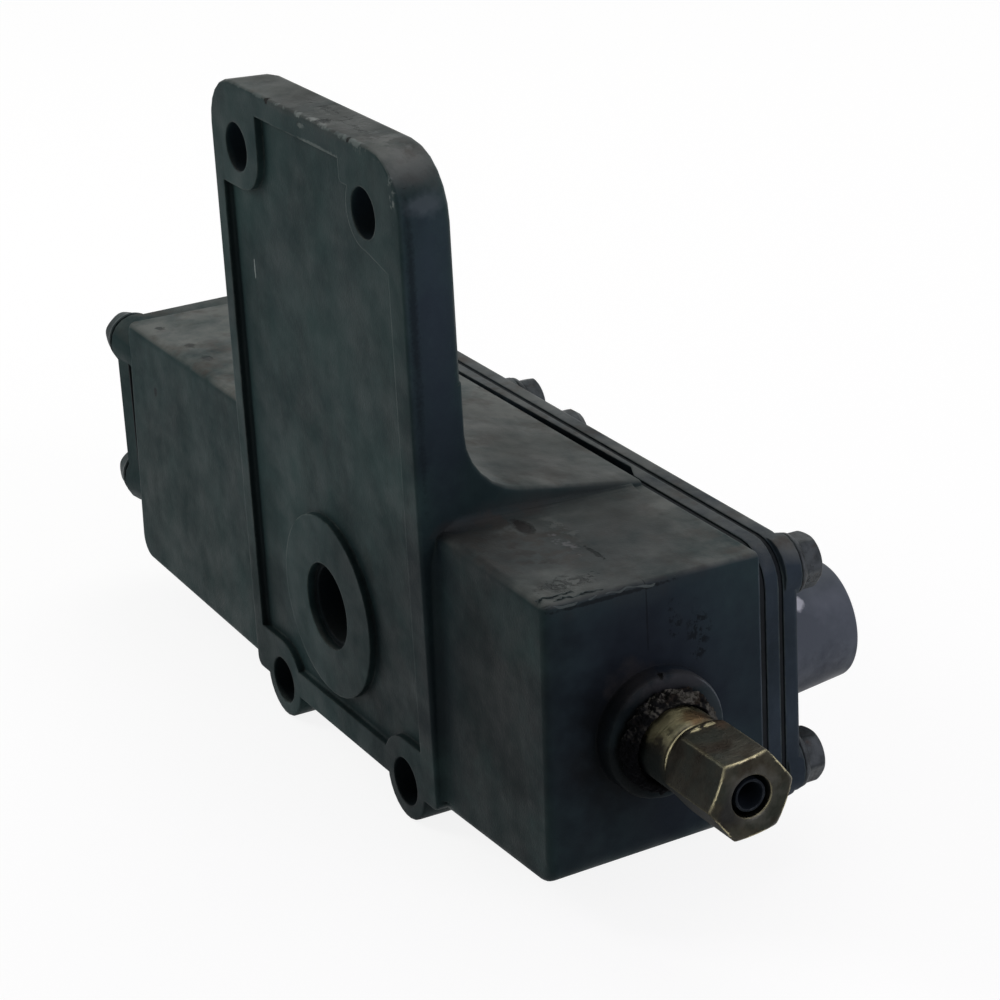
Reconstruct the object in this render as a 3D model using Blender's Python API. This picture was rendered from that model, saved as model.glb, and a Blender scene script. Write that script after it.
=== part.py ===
"""Pneumatic shift valve of a truck gearbox, built as separate pieces.

Metres, +Z up. The origin is the midpoint between the two lower mounting holes, on the
mounting face. +X runs along the valve body to the brass fitting, +Y goes from the
mounting face into the body, and +Z goes up the flange.
"""
import math

import bmesh
import bpy
from mathutils import Vector

MM = 0.001

# Clearances
SEAT = 0.3 * MM
RUNNING = 0.3 * MM
BOLT_CLEARANCE = 0.35 * MM

# Mounting flange
FLANGE_WIDTH = 75.0 * MM
FLANGE_TOP = 116.5 * MM
FLANGE_FOOT = 1.3 * MM
FLANGE_THICKNESS = 9.9 * MM
FLANGE_CORNER = 9.5 * MM
FLANGE_BACK_CORNER = 12.0 * MM
FLANGE_FOOT_CORNER = 2.0 * MM
FLANGE_EDGE = 0.6 * MM
FLANGE_BACK_EDGE = 1.8 * MM
MOUNT_HOLE_RADIUS = 4.5 * MM
MOUNT_PITCH_X = 50.8 * MM
MOUNT_PITCH_Z = 104.6 * MM
UPPER_HOLES_SHIFT = 1.2 * MM
EAR_RADIUS = 7.2 * MM
EAR_EDGE = 0.4 * MM

# Shallow pocket in the mounting face, with a pad round each hole and a round port boss
POCKET_DEPTH = 1.4 * MM
POCKET_RIM_LEFT = 3.9 * MM
POCKET_RIM_RIGHT = 5.4 * MM
POCKET_RIM_TOP = 4.4 * MM
POCKET_RIM_FOOT = 5.6 * MM
POCKET_CORNER = 1.5 * MM
LOWER_PAD_RADIUS = 8.4 * MM
LEFT_PAD_SIDE = 8.9 * MM
LEFT_PAD_BELOW = 7.6 * MM
LEFT_PAD_CORNER = 7.5 * MM
RIGHT_PAD_RADIUS = 6.6 * MM
RIGHT_PAD_SIDE = 8.6 * MM
RIGHT_PAD_STEP = 3.4 * MM
RIGHT_PAD_SLOPE = 2.5 * MM

# Air port in the mounting face
PORT_X = -2.8 * MM
PORT_Z = 23.6 * MM
PORT_BOSS_RADIUS = 17.3 * MM
PORT_MOUTH_RADIUS = 8.2 * MM
PORT_MOUTH_DEPTH = 1.7 * MM
PORT_RADIUS = 7.2 * MM

# Valve body behind the flange
BODY_RIGHT = 74.6 * MM
BODY_LENGTH = 173.6 * MM
BODY_FOOT = 0.2 * MM
BODY_HEIGHT = 50.4 * MM
BODY_SETBACK = 1.8 * MM
BODY_DEPTH = 41.8 * MM
BODY_DRAFT = 0.8 * MM
FRONT_LEAN = 1.2 * MM
LEFT_FOOT_RISE = 1.4 * MM
RIGHT_FOOT_RISE = 1.3 * MM
FOOT_EDGE = 1.2 * MM
TOP_EDGE = 1.6 * MM
END_EDGE = 1.6 * MM
END_FOOT_EDGE = 4.0 * MM
END_TOP_EDGE = 1.2 * MM
SIDE_BLEND = 3.0 * MM
SIDE_BLEND_DEPTH = 1.3 * MM
WRENCH_ROOM_RADIUS = 9.2 * MM

# Gusset between the flange's back and the body's top
GUSSET_BLEND = 12.0 * MM
GUSSET_FRONT_RISE = 7.1 * MM
GUSSET_BACK_RISE = 0.7 * MM
GUSSET_EDGE = 1.0 * MM
GUSSET_FOOT_BLEND = 2.6 * MM
GUSSET_BACK_BLEND = 6.4 * MM
BLEND_START = 0.3 * MM
BLEND_RUN = 3.0 * MM
BLEND_SINK = 0.03 * MM

# Joint stack on the body's back
JOINT_GASKET = 0.5 * MM
PLATE_THICKNESS = 2.6 * MM
COVER_GASKET = 0.3 * MM
COVER_THICKNESS = 3.1 * MM
GASKET_INSET = 0.5 * MM
STACK_CORNER = 7.0 * MM
COVER_EDGE = 1.0 * MM
PRY_LEFT = -37.0 * MM
PRY_RIGHT = 33.5 * MM
PRY_DEPTH = 4.5 * MM
PRY_NARROW = 0.6 * MM
PRY_WIDE = 1.7 * MM

# Cover bolts
COVER_BOLT_RADIUS = 2.8 * MM
COVER_BOLT_GRIP = 10.0 * MM
COVER_BOLT_INSET = 4.8 * MM
COVER_BOLT_UPPER_MIDDLE = 98.6 * MM
COVER_BOLT_LOWER_MIDDLE = 74.6 * MM
COVER_BOLT_LEFT_INSET = 15.0 * MM
COVER_BOLT_TOP = 5.6 * MM
COVER_BOLT_FOOT = 8.4 * MM
COVER_PAD_RADIUS = 5.5 * MM
COVER_PAD_RISE = 0.4 * MM
HEAD_ACROSS = 8.6 * MM
HEAD_HEIGHT = 3.4 * MM
CAP_HEAD_HEIGHT = 4.2 * MM
HEAD_FLANGE_RADIUS = 5.3 * MM
HEAD_FLANGE = 1.1 * MM

# Breather plug near the cover's top edge
PLUG_INSET = 81.6 * MM
PLUG_DROP = 6.4 * MM
PLUG_RADIUS = 4.3 * MM
PLUG_HEIGHT = 4.8 * MM
PLUG_STEM_RADIUS = 1.9 * MM

# Cap on the body's left end
CAP_THICKNESS = 4.6 * MM
CAP_GASKET = 0.4 * MM
CAP_FRONT = 2.4 * MM
CAP_FOOT = 9.7 * MM
CAP_BACK = 4.0 * MM
CAP_CORNER = 5.2 * MM
CAP_EDGE = 0.8 * MM
CAP_LOBE_RADIUS = 5.7 * MM
CAP_BOLT_INSET_Y = 4.6 * MM
CAP_BOLT_INSET_Z = 5.3 * MM
CAP_BOLT_RADIUS = 2.4 * MM
CAP_BOLT_GRIP = 8.0 * MM
CAP_SPIGOT_LENGTH = 3.4 * MM

# Spool, its bore and its return spring
SPOOL_Y = 22.6 * MM
SPOOL_Z = 24.2 * MM
SPOOL_BORE_RADIUS = 8.0 * MM
SPOOL_BORE_END = 16.0 * MM
SPOOL_LENGTH = 122.0 * MM
SPOOL_WAIST_RADIUS = 4.4 * MM
SPOOL_LANDS = 4
SPOOL_LAND_LENGTH = 10.0 * MM
SPOOL_SEAL_GROOVE = 1.7 * MM
SPOOL_SEAL_WIDTH = 2.4 * MM
SPRING_TURNS = 5.5
SPRING_WIRE_RADIUS = 0.75 * MM
SPRING_RADIUS = 5.6 * MM
SPRING_STEPS = 10
SPRING_SIDES = 5

# Brass fitting on the body's right end
FITTING_BOSS_RADIUS = 11.2 * MM
FITTING_BOSS_RISE = 4.0 * MM
FITTING_BOSS_EDGE = 0.9 * MM
THREAD_RADIUS = 5.2 * MM
THREAD_LENGTH = 11.0 * MM
FITTING_COLLAR_RADIUS = 6.8 * MM
FITTING_COLLAR_LENGTH = 8.6 * MM
FITTING_NECK_RADIUS = 6.0 * MM
FITTING_NECK_LENGTH = 1.2 * MM
AIRWAY_RADIUS = 2.6 * MM
NUT_ACROSS = 13.8 * MM
NUT_TURN = math.radians(36.5)
NUT_LENGTH = 15.0 * MM
NUT_BACK_RADIUS = 6.9 * MM
NUT_BACK_CHAMFER = 2.8 * MM
NUT_FACE_RADIUS = 6.9 * MM
NUT_FACE_CHAMFER = 0.7 * MM
NUT_MOUTH_RADIUS = 4.2 * MM
TUBE_RADIUS = 3.7 * MM
TUBE_INSERTION = 5.0 * MM
TUBE_RECESS = 0.5 * MM
SEALANT_OUTER = 9.2 * MM
SEALANT_HEIGHT = 3.2 * MM
SEALANT_LUMP = 0.7 * MM

# Round electrical connector on the cover
CONNECTOR_INSET = 19.1 * MM
CONNECTOR_Z = 25.0 * MM
CONNECTOR_RADIUS = 10.8 * MM
CONNECTOR_TIP_RADIUS = 10.5 * MM
CONNECTOR_LENGTH = 17.6 * MM
CONNECTOR_EDGE = 0.6 * MM
CONNECTOR_FLANGE_RADIUS = 12.0 * MM
CONNECTOR_FLANGE = 1.5 * MM
CONNECTOR_FILLET = 1.2 * MM
CONNECTOR_WALL = 1.7 * MM
CONNECTOR_FLOOR = 2.4 * MM
INSERT_HEIGHT = 5.0 * MM
PIN_COUNT = 4
PIN_RADIUS = 0.8 * MM
PIN_LENGTH = 11.5 * MM
PIN_CIRCLE = 4.2 * MM
CONNECTOR_SEAL_HEIGHT = 1.4 * MM
CONNECTOR_SEAL_WIDTH = 1.3 * MM

# Places worked out from the sizes above
BODY_LEFT = BODY_RIGHT - BODY_LENGTH
BODY_TOP = BODY_HEIGHT - BODY_FOOT
BODY_BACK = BODY_SETBACK + BODY_DEPTH
GASKET_FRONT = BODY_BACK + SEAT
PLATE_FRONT = GASKET_FRONT + JOINT_GASKET + SEAT
PLATE_BACK = PLATE_FRONT + PLATE_THICKNESS
COVER_GASKET_FRONT = PLATE_BACK + SEAT
COVER_FRONT = COVER_GASKET_FRONT + COVER_GASKET + SEAT
COVER_BACK = COVER_FRONT + COVER_THICKNESS
HALF_FLANGE = FLANGE_WIDTH / 2
LOWER_HOLES = [(-MOUNT_PITCH_X / 2, 0.0), (MOUNT_PITCH_X / 2, 0.0)]
UPPER_HOLES = [(x - UPPER_HOLES_SHIFT, MOUNT_PITCH_Z) for x, _ in LOWER_HOLES]
UPPER_BOLT_Z = BODY_TOP - COVER_BOLT_TOP
LOWER_BOLT_Z = COVER_BOLT_FOOT - BODY_FOOT
COVER_BOLTS = [
    (BODY_RIGHT - COVER_BOLT_INSET, UPPER_BOLT_Z),
    (BODY_RIGHT - COVER_BOLT_UPPER_MIDDLE, UPPER_BOLT_Z),
    (BODY_LEFT + COVER_BOLT_LEFT_INSET, UPPER_BOLT_Z),
    (BODY_RIGHT - COVER_BOLT_INSET, LOWER_BOLT_Z),
    (BODY_RIGHT - COVER_BOLT_LOWER_MIDDLE, LOWER_BOLT_Z),
    (BODY_LEFT + COVER_BOLT_LEFT_INSET, LOWER_BOLT_Z),
]
CAP_OUTER = BODY_LEFT - 2 * SEAT - CAP_GASKET - CAP_THICKNESS
CAP_BOLTS = [
    (y, z)
    for y in (CAP_FRONT + CAP_BOLT_INSET_Y, BODY_BACK - CAP_BACK - CAP_BOLT_INSET_Y)
    for z in (CAP_FOOT + CAP_BOLT_INSET_Z, BODY_TOP - CAP_BOLT_INSET_Z)
]
PLUG_X = BODY_RIGHT - PLUG_INSET
CONNECTOR_X = BODY_RIGHT - CONNECTOR_INSET
BOSS_FACE = BODY_RIGHT + FITTING_BOSS_RISE
SPOOL_STOP = BODY_RIGHT - SPOOL_BORE_END

# Facet sizes
ARC_STEP = math.radians(15.0)
FINE_SIDES = 40
MEDIUM_SIDES = 26
SMALL_SIDES = 18
COARSE_SIDES = 12
TINY_SIDES = 8
OVERCUT = 2.0 * MM


def clear_scene():
    """Removes every object that the scene starts with."""
    for item in list(bpy.data.objects):
        bpy.data.objects.remove(item)


def make_material(name, colour, roughness, metallic):
    """Returns a Principled material of one colour."""
    material = bpy.data.materials.new(name)
    material.use_nodes = True
    shader = material.node_tree.nodes["Principled BSDF"]
    shader.inputs["Base Color"].default_value = (*colour, 1.0)
    shader.inputs["Roughness"].default_value = roughness
    shader.inputs["Metallic"].default_value = metallic
    return material


def outline(*corners):
    """Returns the points of a closed outline whose corners (u, v, radius) are rounded."""
    points = []
    for index, (u, v, radius) in enumerate(corners):
        here = Vector((u, v))
        if radius <= 0.0:
            points.append(here)
            continue
        back = (Vector(corners[index - 1][:2]) - here).normalized()
        ahead = (Vector(corners[(index + 1) % len(corners)][:2]) - here).normalized()
        half = back.angle(ahead) / 2
        centre = here + (back + ahead).normalized() * (radius / math.sin(half))
        start = here + back * (radius / math.tan(half)) - centre
        stop = here + ahead * (radius / math.tan(half)) - centre
        turn = math.copysign(math.pi - 2 * half, start.x * stop.y - start.y * stop.x)
        count = max(2, math.ceil(abs(turn) / ARC_STEP))
        for step in range(count + 1):
            points.append(centre + turned_vector(start, turn * step / count))
    return points


def turned_vector(vector, angle):
    """Returns a flat vector turned by an angle."""
    cosine, sine = math.cos(angle), math.sin(angle)
    return Vector((vector.x * cosine - vector.y * sine, vector.x * sine + vector.y * cosine))


def rectangle(left, right, low, high, radius=0.0):
    """Returns a rectangle's outline with equal corners."""
    return outline((left, low, radius), (right, low, radius), (right, high, radius), (left, high, radius))


def circle(u, v, radius, count):
    """Returns the outline of a regular polygon that stands for a circle."""
    return [
        Vector((u + radius * math.cos(math.tau * i / count), v + radius * math.sin(math.tau * i / count)))
        for i in range(count)
    ]


def signed_area(points):
    """Returns an outline's area, positive when it runs anticlockwise."""
    pairs = zip(points, points[1:] + points[:1])
    return sum(a.x * b.y - b.x * a.y for a, b in pairs) / 2


def inset(points, distance):
    """Returns an outline moved inwards by a distance."""
    if distance == 0.0:
        return [point.copy() for point in points]
    side = math.copysign(1.0, signed_area(points))
    moved = []
    for index, here in enumerate(points):
        before = (here - points[index - 1]).normalized()
        after = (points[(index + 1) % len(points)] - here).normalized()
        normal = Vector((-(before + after).y, (before + after).x)).normalized() * side
        lean = max(normal.dot(Vector((-after.y, after.x)) * side), 0.3)
        moved.append(here + normal * (distance / lean))
    return moved


def in_space(axis, point, along):
    """Returns a flat point in space, at a distance along the axis that the outline faces."""
    if axis == "X":
        return Vector((along, point.x, point.y))
    if axis == "Y":
        return Vector((point.x, along, point.y))
    return Vector((point.x, point.y, along))


def edge_layers(low, high, low_edge, high_edge, steps):
    """Returns (place, inset) pairs that round a prism's two rims."""
    layers = []
    angles = [math.pi / 2 * step / steps for step in range(steps + 1)]
    if low_edge > 0.0:
        layers += [(low + low_edge * (1 - math.cos(a)), low_edge * (1 - math.sin(a))) for a in angles]
    else:
        layers.append((low, 0.0))
    if high_edge > 0.0:
        layers += [(high - high_edge * (1 - math.cos(a)), high_edge * (1 - math.sin(a)))
                   for a in reversed(angles)]
    else:
        layers.append((high, 0.0))
    return layers


def loft(name, rings):
    """Makes a closed solid through rings of as many points each."""
    model = bmesh.new()
    rows = [[model.verts.new(point) for point in ring] for ring in rings]
    for row, following in zip(rows, rows[1:]):
        for index in range(len(row)):
            after = (index + 1) % len(row)
            model.faces.new((row[index], row[after], following[after], following[index]))
    model.faces.new(list(reversed(rows[0])))
    model.faces.new(rows[-1])
    bmesh.ops.recalc_face_normals(model, faces=model.faces)
    return finish(name, model)


def finish(name, model):
    """Turns a bmesh into an object of the scene."""
    mesh = bpy.data.meshes.new(name)
    model.to_mesh(mesh)
    model.free()
    item = bpy.data.objects.new(name, mesh)
    bpy.context.scene.collection.objects.link(item)
    return item


def prism(name, points, axis, low, high, low_edge=0.0, high_edge=0.0, steps=3):
    """Makes a straight solid of an outline, with rounded rims where asked."""
    rings = []
    for place, distance in edge_layers(low, high, low_edge, high_edge, steps):
        rings.append([in_space(axis, point, place) for point in inset(points, distance)])
    return loft(name, rings)


def turning(name, profile, count, closed=False):
    """Makes a turned solid about Z from (height, radius) points.

    A profile runs up the axis from end to end; a closed one is the section of a ring or
    of a tube, whose last point joins its first.
    """
    model = bmesh.new()
    rows = []
    for height, radius in profile:
        if radius <= 0.0:
            rows.append([model.verts.new((0.0, 0.0, height))])
            continue
        rows.append([model.verts.new((*point, height)) for point in circle(0.0, 0.0, radius, count)])
    pairs = list(zip(rows, rows[1:]))
    if closed:
        pairs.append((rows[-1], rows[0]))
    for row, following in pairs:
        for index in range(count):
            after = (index + 1) % count
            corners = [row[index % len(row)], row[after % len(row)],
                       following[after % len(following)], following[index % len(following)]]
            unique = list(dict.fromkeys(corners))
            if len(unique) > 2:
                model.faces.new(unique)
    if not closed:
        for row in (rows[0], rows[-1]):
            if len(row) > 1:
                model.faces.new(row)
    bmesh.ops.recalc_face_normals(model, faces=model.faces)
    return finish(name, model)


def place(item, location, direction="Z"):
    """Puts an object made along Z at a location, facing +X, -X, +Y, -Y or +Z."""
    quarter = math.pi / 2
    turns = {
        "X": (0.0, quarter, 0.0), "-X": (0.0, -quarter, 0.0),
        "Y": (-quarter, 0.0, 0.0), "-Y": (quarter, 0.0, 0.0), "Z": (0.0, 0.0, 0.0),
    }
    item.location = location
    item.rotation_euler = turns[direction]
    return item


def rod(radius, start, length, direction, count=MEDIUM_SIDES):
    """Makes a plain round bar from a starting point, as a tool for cutting or joining."""
    bar = turning("rod", [(0.0, radius), (length, radius)], count)
    return place(bar, start, direction)


def combine(body, tool, operation):
    """Joins, cuts or intersects a body with a tool, and uses the tool up."""
    step = body.modifiers.new("step", "BOOLEAN")
    step.operation = operation
    step.solver = "EXACT"
    step.object = tool
    bpy.context.view_layer.update()
    graph = bpy.context.evaluated_depsgraph_get()
    result = bpy.data.meshes.new_from_object(body.evaluated_get(graph))
    body.modifiers.clear()
    former = body.data
    body.data = result
    bpy.data.meshes.remove(former)
    bpy.data.objects.remove(tool)


def fuse(body, *tools):
    """Joins tools to a body."""
    for tool in tools:
        combine(body, tool, "UNION")


def cut(body, *tools):
    """Cuts tools out of a body."""
    for tool in tools:
        combine(body, tool, "DIFFERENCE")


def dress(item, name, material, smooth_angle=35.0):
    """Names an object, gives it its material and shades its round faces smooth."""
    item.name = name
    item.data.name = name
    item.data.materials.clear()
    item.data.materials.append(material)
    item.data.shade_smooth()
    item.data.set_sharp_from_angle(angle=math.radians(smooth_angle))
    return item


def flange_plate():
    """Makes the flange: a tall plate with two ears round its lower holes."""
    rings = []
    for depth, distance in edge_layers(0.0, FLANGE_THICKNESS, FLANGE_EDGE, FLANGE_BACK_EDGE, 3):
        corner = FLANGE_CORNER + (FLANGE_BACK_CORNER - FLANGE_CORNER) * depth / FLANGE_THICKNESS
        points = outline(
            (-HALF_FLANGE, -FLANGE_FOOT, FLANGE_FOOT_CORNER),
            (HALF_FLANGE, -FLANGE_FOOT, FLANGE_FOOT_CORNER),
            (HALF_FLANGE, FLANGE_TOP, corner),
            (-HALF_FLANGE, FLANGE_TOP, corner),
        )
        rings.append([in_space("Y", point, depth) for point in inset(points, distance)])
    plate = loft("flange", rings)
    for x, z in LOWER_HOLES:
        round_ear = circle(x, z, EAR_RADIUS, MEDIUM_SIDES)
        fuse(plate, prism("ear", round_ear, "Y", 0.0, FLANGE_THICKNESS, EAR_EDGE, EAR_EDGE, 2))
    return plate


def edge_inset(radius, depth):
    """Returns how far a rounded edge lies inside at a depth behind its face."""
    if depth >= radius:
        return 0.0
    return radius - math.sqrt(radius ** 2 - (radius - depth) ** 2)


def body_outline(ends, foot, top, foot_corner, top_corner):
    """Returns the body's outline in X and Z, whose foot rises a little towards both ends.

    The ends, the foot and the top are moved inwards by the three given distances.
    """
    low = foot - BODY_FOOT
    return outline(
        (BODY_LEFT + ends, low + LEFT_FOOT_RISE, foot_corner),
        (-HALF_FLANGE, low, 0.0),
        (HALF_FLANGE, low, 0.0),
        (BODY_RIGHT - ends, low + RIGHT_FOOT_RISE, foot_corner),
        (BODY_RIGHT - ends, BODY_TOP - top, top_corner),
        (BODY_LEFT + ends, BODY_TOP - top, top_corner),
    )


def front_place(height):
    """Returns how far behind the mounting face the leaning front lies at a height."""
    return BODY_SETBACK + FRONT_LEAN * height / BODY_TOP


def body_block():
    """Makes the long body: rounded front edges, a leaning front and drafted top and foot."""
    rings = []
    for share in (0.0, 0.1, 0.3, 0.6, 1.0):
        depth = share * TOP_EDGE
        points = body_outline(
            edge_inset(END_EDGE, depth), edge_inset(FOOT_EDGE, depth) - BODY_DRAFT,
            edge_inset(TOP_EDGE, depth) - BODY_DRAFT, END_FOOT_EDGE, END_TOP_EDGE,
        )
        rings.append([in_space("Y", point, front_place(point.y) + depth) for point in points])
    back = body_outline(0.0, 0.0, 0.0, END_FOOT_EDGE, END_TOP_EDGE)
    rings.append([in_space("Y", point, BODY_BACK) for point in back])
    rings.append([in_space("Y", point, BODY_BACK + OVERCUT) for point in back])
    return loft("block", rings)


def behind_body():
    """Makes the tool that trims the casting flat where the joint gasket lies."""
    return prism(
        "behind",
        rectangle(BODY_LEFT - OVERCUT, BODY_RIGHT + OVERCUT, -BODY_FOOT - BODY_DRAFT - OVERCUT, FLANGE_TOP),
        "Y", BODY_BACK, BODY_BACK + 4 * OVERCUT,
    )


def gusset():
    """Makes the web that sweeps from the flange's back down to the body's back edge."""
    inner = FLANGE_THICKNESS - FLANGE_BACK_EDGE - 0.5 * MM
    low = BODY_TOP - GUSSET_BLEND
    start = BODY_TOP + GUSSET_FRONT_RISE
    slope = (GUSSET_FRONT_RISE - GUSSET_BACK_RISE) / (BODY_BACK - FLANGE_THICKNESS)
    beyond = BODY_BACK + OVERCUT
    return prism(
        "gusset",
        outline(
            (inner, low, 0.0),
            (beyond, low, 0.0),
            (beyond, BODY_TOP + GUSSET_BACK_RISE - OVERCUT * slope, 0.0),
            (FLANGE_THICKNESS, start, GUSSET_BLEND),
            (FLANGE_THICKNESS, start + GUSSET_BLEND * 1.6, 0.0),
            (inner, start + GUSSET_BLEND * 1.6, 0.0),
        ),
        "X", -HALF_FLANGE, HALF_FLANGE, GUSSET_EDGE, GUSSET_EDGE,
    )


def corner_blend(axis, du, dv, stations):
    """Makes a hollow fillet that opens towards (du, dv) and runs through stations.

    A station is (along, u, v, width, height): its place along the axis, the corner that it
    fills, and its size along u and along v.
    """
    rings = []
    for along, corner_u, corner_v, width, height in stations:
        u = corner_u - du * BLEND_SINK
        v = corner_v - dv * BLEND_SINK
        points = [Vector((u - du * width, v - dv * height)), Vector((u + du * width, v - dv * height))]
        for step in range(6):
            angle = math.pi / 2 * step / 5
            across, up = 1 - math.sin(angle), 1 - math.cos(angle)
            points.append(Vector((u + du * width * across, v + dv * height * up)))
        points.append(Vector((u - du * width, v + dv * height)))
        rings.append([in_space(axis, point, along) for point in points])
    return loft("blend", rings)


def side_blend(side):
    """Makes the fillet between one side of the flange and the body's front."""
    low = FOOT_EDGE - BODY_FOOT
    high = BODY_TOP - TOP_EDGE
    corner = side * HALF_FLANGE
    return corner_blend("Z", side, -1.0, [
        (low, corner, front_place(low), SIDE_BLEND, SIDE_BLEND_DEPTH),
        (high - BLEND_RUN, corner, front_place(high - BLEND_RUN), SIDE_BLEND, SIDE_BLEND_DEPTH),
        (high, corner, front_place(high), BLEND_START, BLEND_START),
    ])


def foot_blend(side):
    """Makes the fillet between the gusset's side and the body's top, wider towards the back."""
    start = front_place(BODY_TOP) + TOP_EDGE
    stop = BODY_BACK - OVERCUT
    draft = BODY_DRAFT / (BODY_BACK - start)
    corner = side * HALF_FLANGE
    stations = []
    for along, width, height in (
        (start, BLEND_START, BLEND_START),
        (start + BLEND_RUN, GUSSET_FOOT_BLEND, GUSSET_FOOT_BLEND),
        (stop, GUSSET_BACK_BLEND, GUSSET_BACK_RISE),
    ):
        stations.append((along, corner, BODY_TOP + draft * (BODY_BACK - along), width, height))
    return corner_blend("Y", side, 1.0, stations)


def pocket_tool():
    """Makes the pocket's cutter: a tapered rectangle less the pads and the port boss."""
    left = POCKET_RIM_LEFT - HALF_FLANGE
    right = HALF_FLANGE - POCKET_RIM_RIGHT
    top = FLANGE_TOP - POCKET_RIM_TOP
    low = POCKET_RIM_FOOT - FLANGE_FOOT
    tool = prism(
        "pocket", rectangle(left, right, low, top, POCKET_CORNER),
        "Y", -OVERCUT, POCKET_DEPTH, 0.0, 0.5 * MM,
    )
    near, deep = -OVERCUT * 2, POCKET_DEPTH + OVERCUT
    for (x, z), outer in zip(LOWER_HOLES, (left, right)):
        cut(tool, prism("pad", circle(x, z, LOWER_PAD_RADIUS, FINE_SIDES), "Y", near, deep))
        beyond = outer + math.copysign(OVERCUT, outer)
        block = rectangle(min(x, beyond), max(x, beyond), low - OVERCUT, z + LOWER_PAD_RADIUS)
        cut(tool, prism("pad", block, "Y", near, deep))
    x, z = UPPER_HOLES[0]
    cut(tool, prism(
        "pad",
        outline(
            (left - OVERCUT, z - LEFT_PAD_BELOW, 0.0),
            (x + LEFT_PAD_SIDE, z - LEFT_PAD_BELOW, LEFT_PAD_CORNER),
            (x + LEFT_PAD_SIDE, top + OVERCUT, 0.0),
            (left - OVERCUT, top + OVERCUT, 0.0),
        ),
        "Y", near, deep,
    ))
    x, z = UPPER_HOLES[1]
    cut(tool, prism("pad", circle(x, z, RIGHT_PAD_RADIUS, FINE_SIDES), "Y", near, deep))
    cut(tool, prism(
        "pad",
        outline(
            (x, z - RIGHT_PAD_RADIUS, 0.0),
            (right + OVERCUT, z - RIGHT_PAD_RADIUS - RIGHT_PAD_SLOPE, 0.0),
            (right + OVERCUT, top + OVERCUT, 0.0),
            (x - RIGHT_PAD_SIDE, top + OVERCUT, 0.0),
            (x - RIGHT_PAD_SIDE, z + RIGHT_PAD_STEP, 1.0 * MM),
            (x, z + RIGHT_PAD_STEP, 0.0),
        ),
        "Y", near, deep,
    ))
    cut(tool, prism("boss", circle(PORT_X, PORT_Z, PORT_BOSS_RADIUS, FINE_SIDES), "Y", near, deep))
    return tool


def housing(material):
    """Makes the die-cast body: flange, ears, gusset, boss, pocket, ports and bores."""
    casting = body_block()
    fuse(casting, flange_plate(), gusset())
    for side in (-1.0, 1.0):
        fuse(casting, side_blend(side), foot_blend(side))
    cut(casting, behind_body())
    boss = turning(
        "boss",
        [
            (-OVERCUT, FITTING_BOSS_RADIUS),
            (FITTING_BOSS_RISE - FITTING_BOSS_EDGE, FITTING_BOSS_RADIUS),
            (FITTING_BOSS_RISE - FITTING_BOSS_EDGE * 0.3, FITTING_BOSS_RADIUS - FITTING_BOSS_EDGE * 0.3),
            (FITTING_BOSS_RISE, FITTING_BOSS_RADIUS - FITTING_BOSS_EDGE),
        ],
        FINE_SIDES,
    )
    fuse(casting, place(boss, (BODY_RIGHT, SPOOL_Y, SPOOL_Z), "X"))
    cut(casting, pocket_tool())
    for x, z in LOWER_HOLES + UPPER_HOLES:
        cut(casting, rod(MOUNT_HOLE_RADIUS, (x, -OVERCUT, z), FLANGE_THICKNESS + 2 * OVERCUT, "Y"))
    for x, z in LOWER_HOLES:
        cut(casting, rod(WRENCH_ROOM_RADIUS, (x, FLANGE_THICKNESS, z), BODY_DEPTH, "Y"))
    cut_bores(casting)
    return dress(casting, "housing", material)


def cut_bores(casting):
    """Cuts the spool's bore, the port, the fitting's hole and the blind bolt holes."""
    spool_bore = SPOOL_STOP - BODY_LEFT + OVERCUT
    cut(casting, rod(SPOOL_BORE_RADIUS, (BODY_LEFT - OVERCUT, SPOOL_Y, SPOOL_Z), spool_bore, "X"))
    cut(casting, rod(AIRWAY_RADIUS, (SPOOL_STOP - OVERCUT, SPOOL_Y, SPOOL_Z), BODY_LENGTH, "X", SMALL_SIDES))
    thread_start = BOSS_FACE - THREAD_LENGTH - SEAT
    cut(casting, rod(THREAD_RADIUS + SEAT, (thread_start, SPOOL_Y, SPOOL_Z), BODY_LENGTH, "X"))
    cut(casting, rod(PORT_RADIUS, (PORT_X, -OVERCUT, PORT_Z), SPOOL_Y + OVERCUT, "Y"))
    mouth_length = PORT_MOUTH_DEPTH + OVERCUT
    cut(casting, rod(PORT_MOUTH_RADIUS, (PORT_X, -OVERCUT, PORT_Z), mouth_length, "Y", FINE_SIDES))
    for x, z in COVER_BOLTS:
        bottom = (x, BODY_BACK - COVER_BOLT_GRIP - SEAT, z)
        cut(casting, rod(COVER_BOLT_RADIUS + BOLT_CLEARANCE, bottom, BODY_DEPTH, "Y", TINY_SIDES))
    for y, z in CAP_BOLTS:
        bottom = (BODY_LEFT + CAP_BOLT_GRIP + SEAT, y, z)
        cut(casting, rod(CAP_BOLT_RADIUS + BOLT_CLEARANCE, bottom, BODY_DEPTH, "-X", TINY_SIDES))


def stack_layer(name, front, back, shrink, edge=0.0):
    """Makes one layer of the joint stack, with its wrench recesses and bolt holes."""
    layer = prism(
        name,
        body_outline(shrink, shrink, shrink, STACK_CORNER - shrink, STACK_CORNER - shrink),
        "Y", front, back, 0.0, edge,
    )
    length = back - front + 2 * OVERCUT
    for x, z in LOWER_HOLES:
        cut(layer, rod(WRENCH_ROOM_RADIUS + shrink, (x, front - OVERCUT, z), length, "Y"))
    return layer


def bolt_holes(layer, front, back):
    """Cuts the cover bolts' clearance holes through a layer."""
    length = back - front + 2 * OVERCUT
    for x, z in COVER_BOLTS:
        cut(layer, rod(COVER_BOLT_RADIUS + BOLT_CLEARANCE, (x, front - OVERCUT, z), length, "Y", TINY_SIDES))


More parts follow.
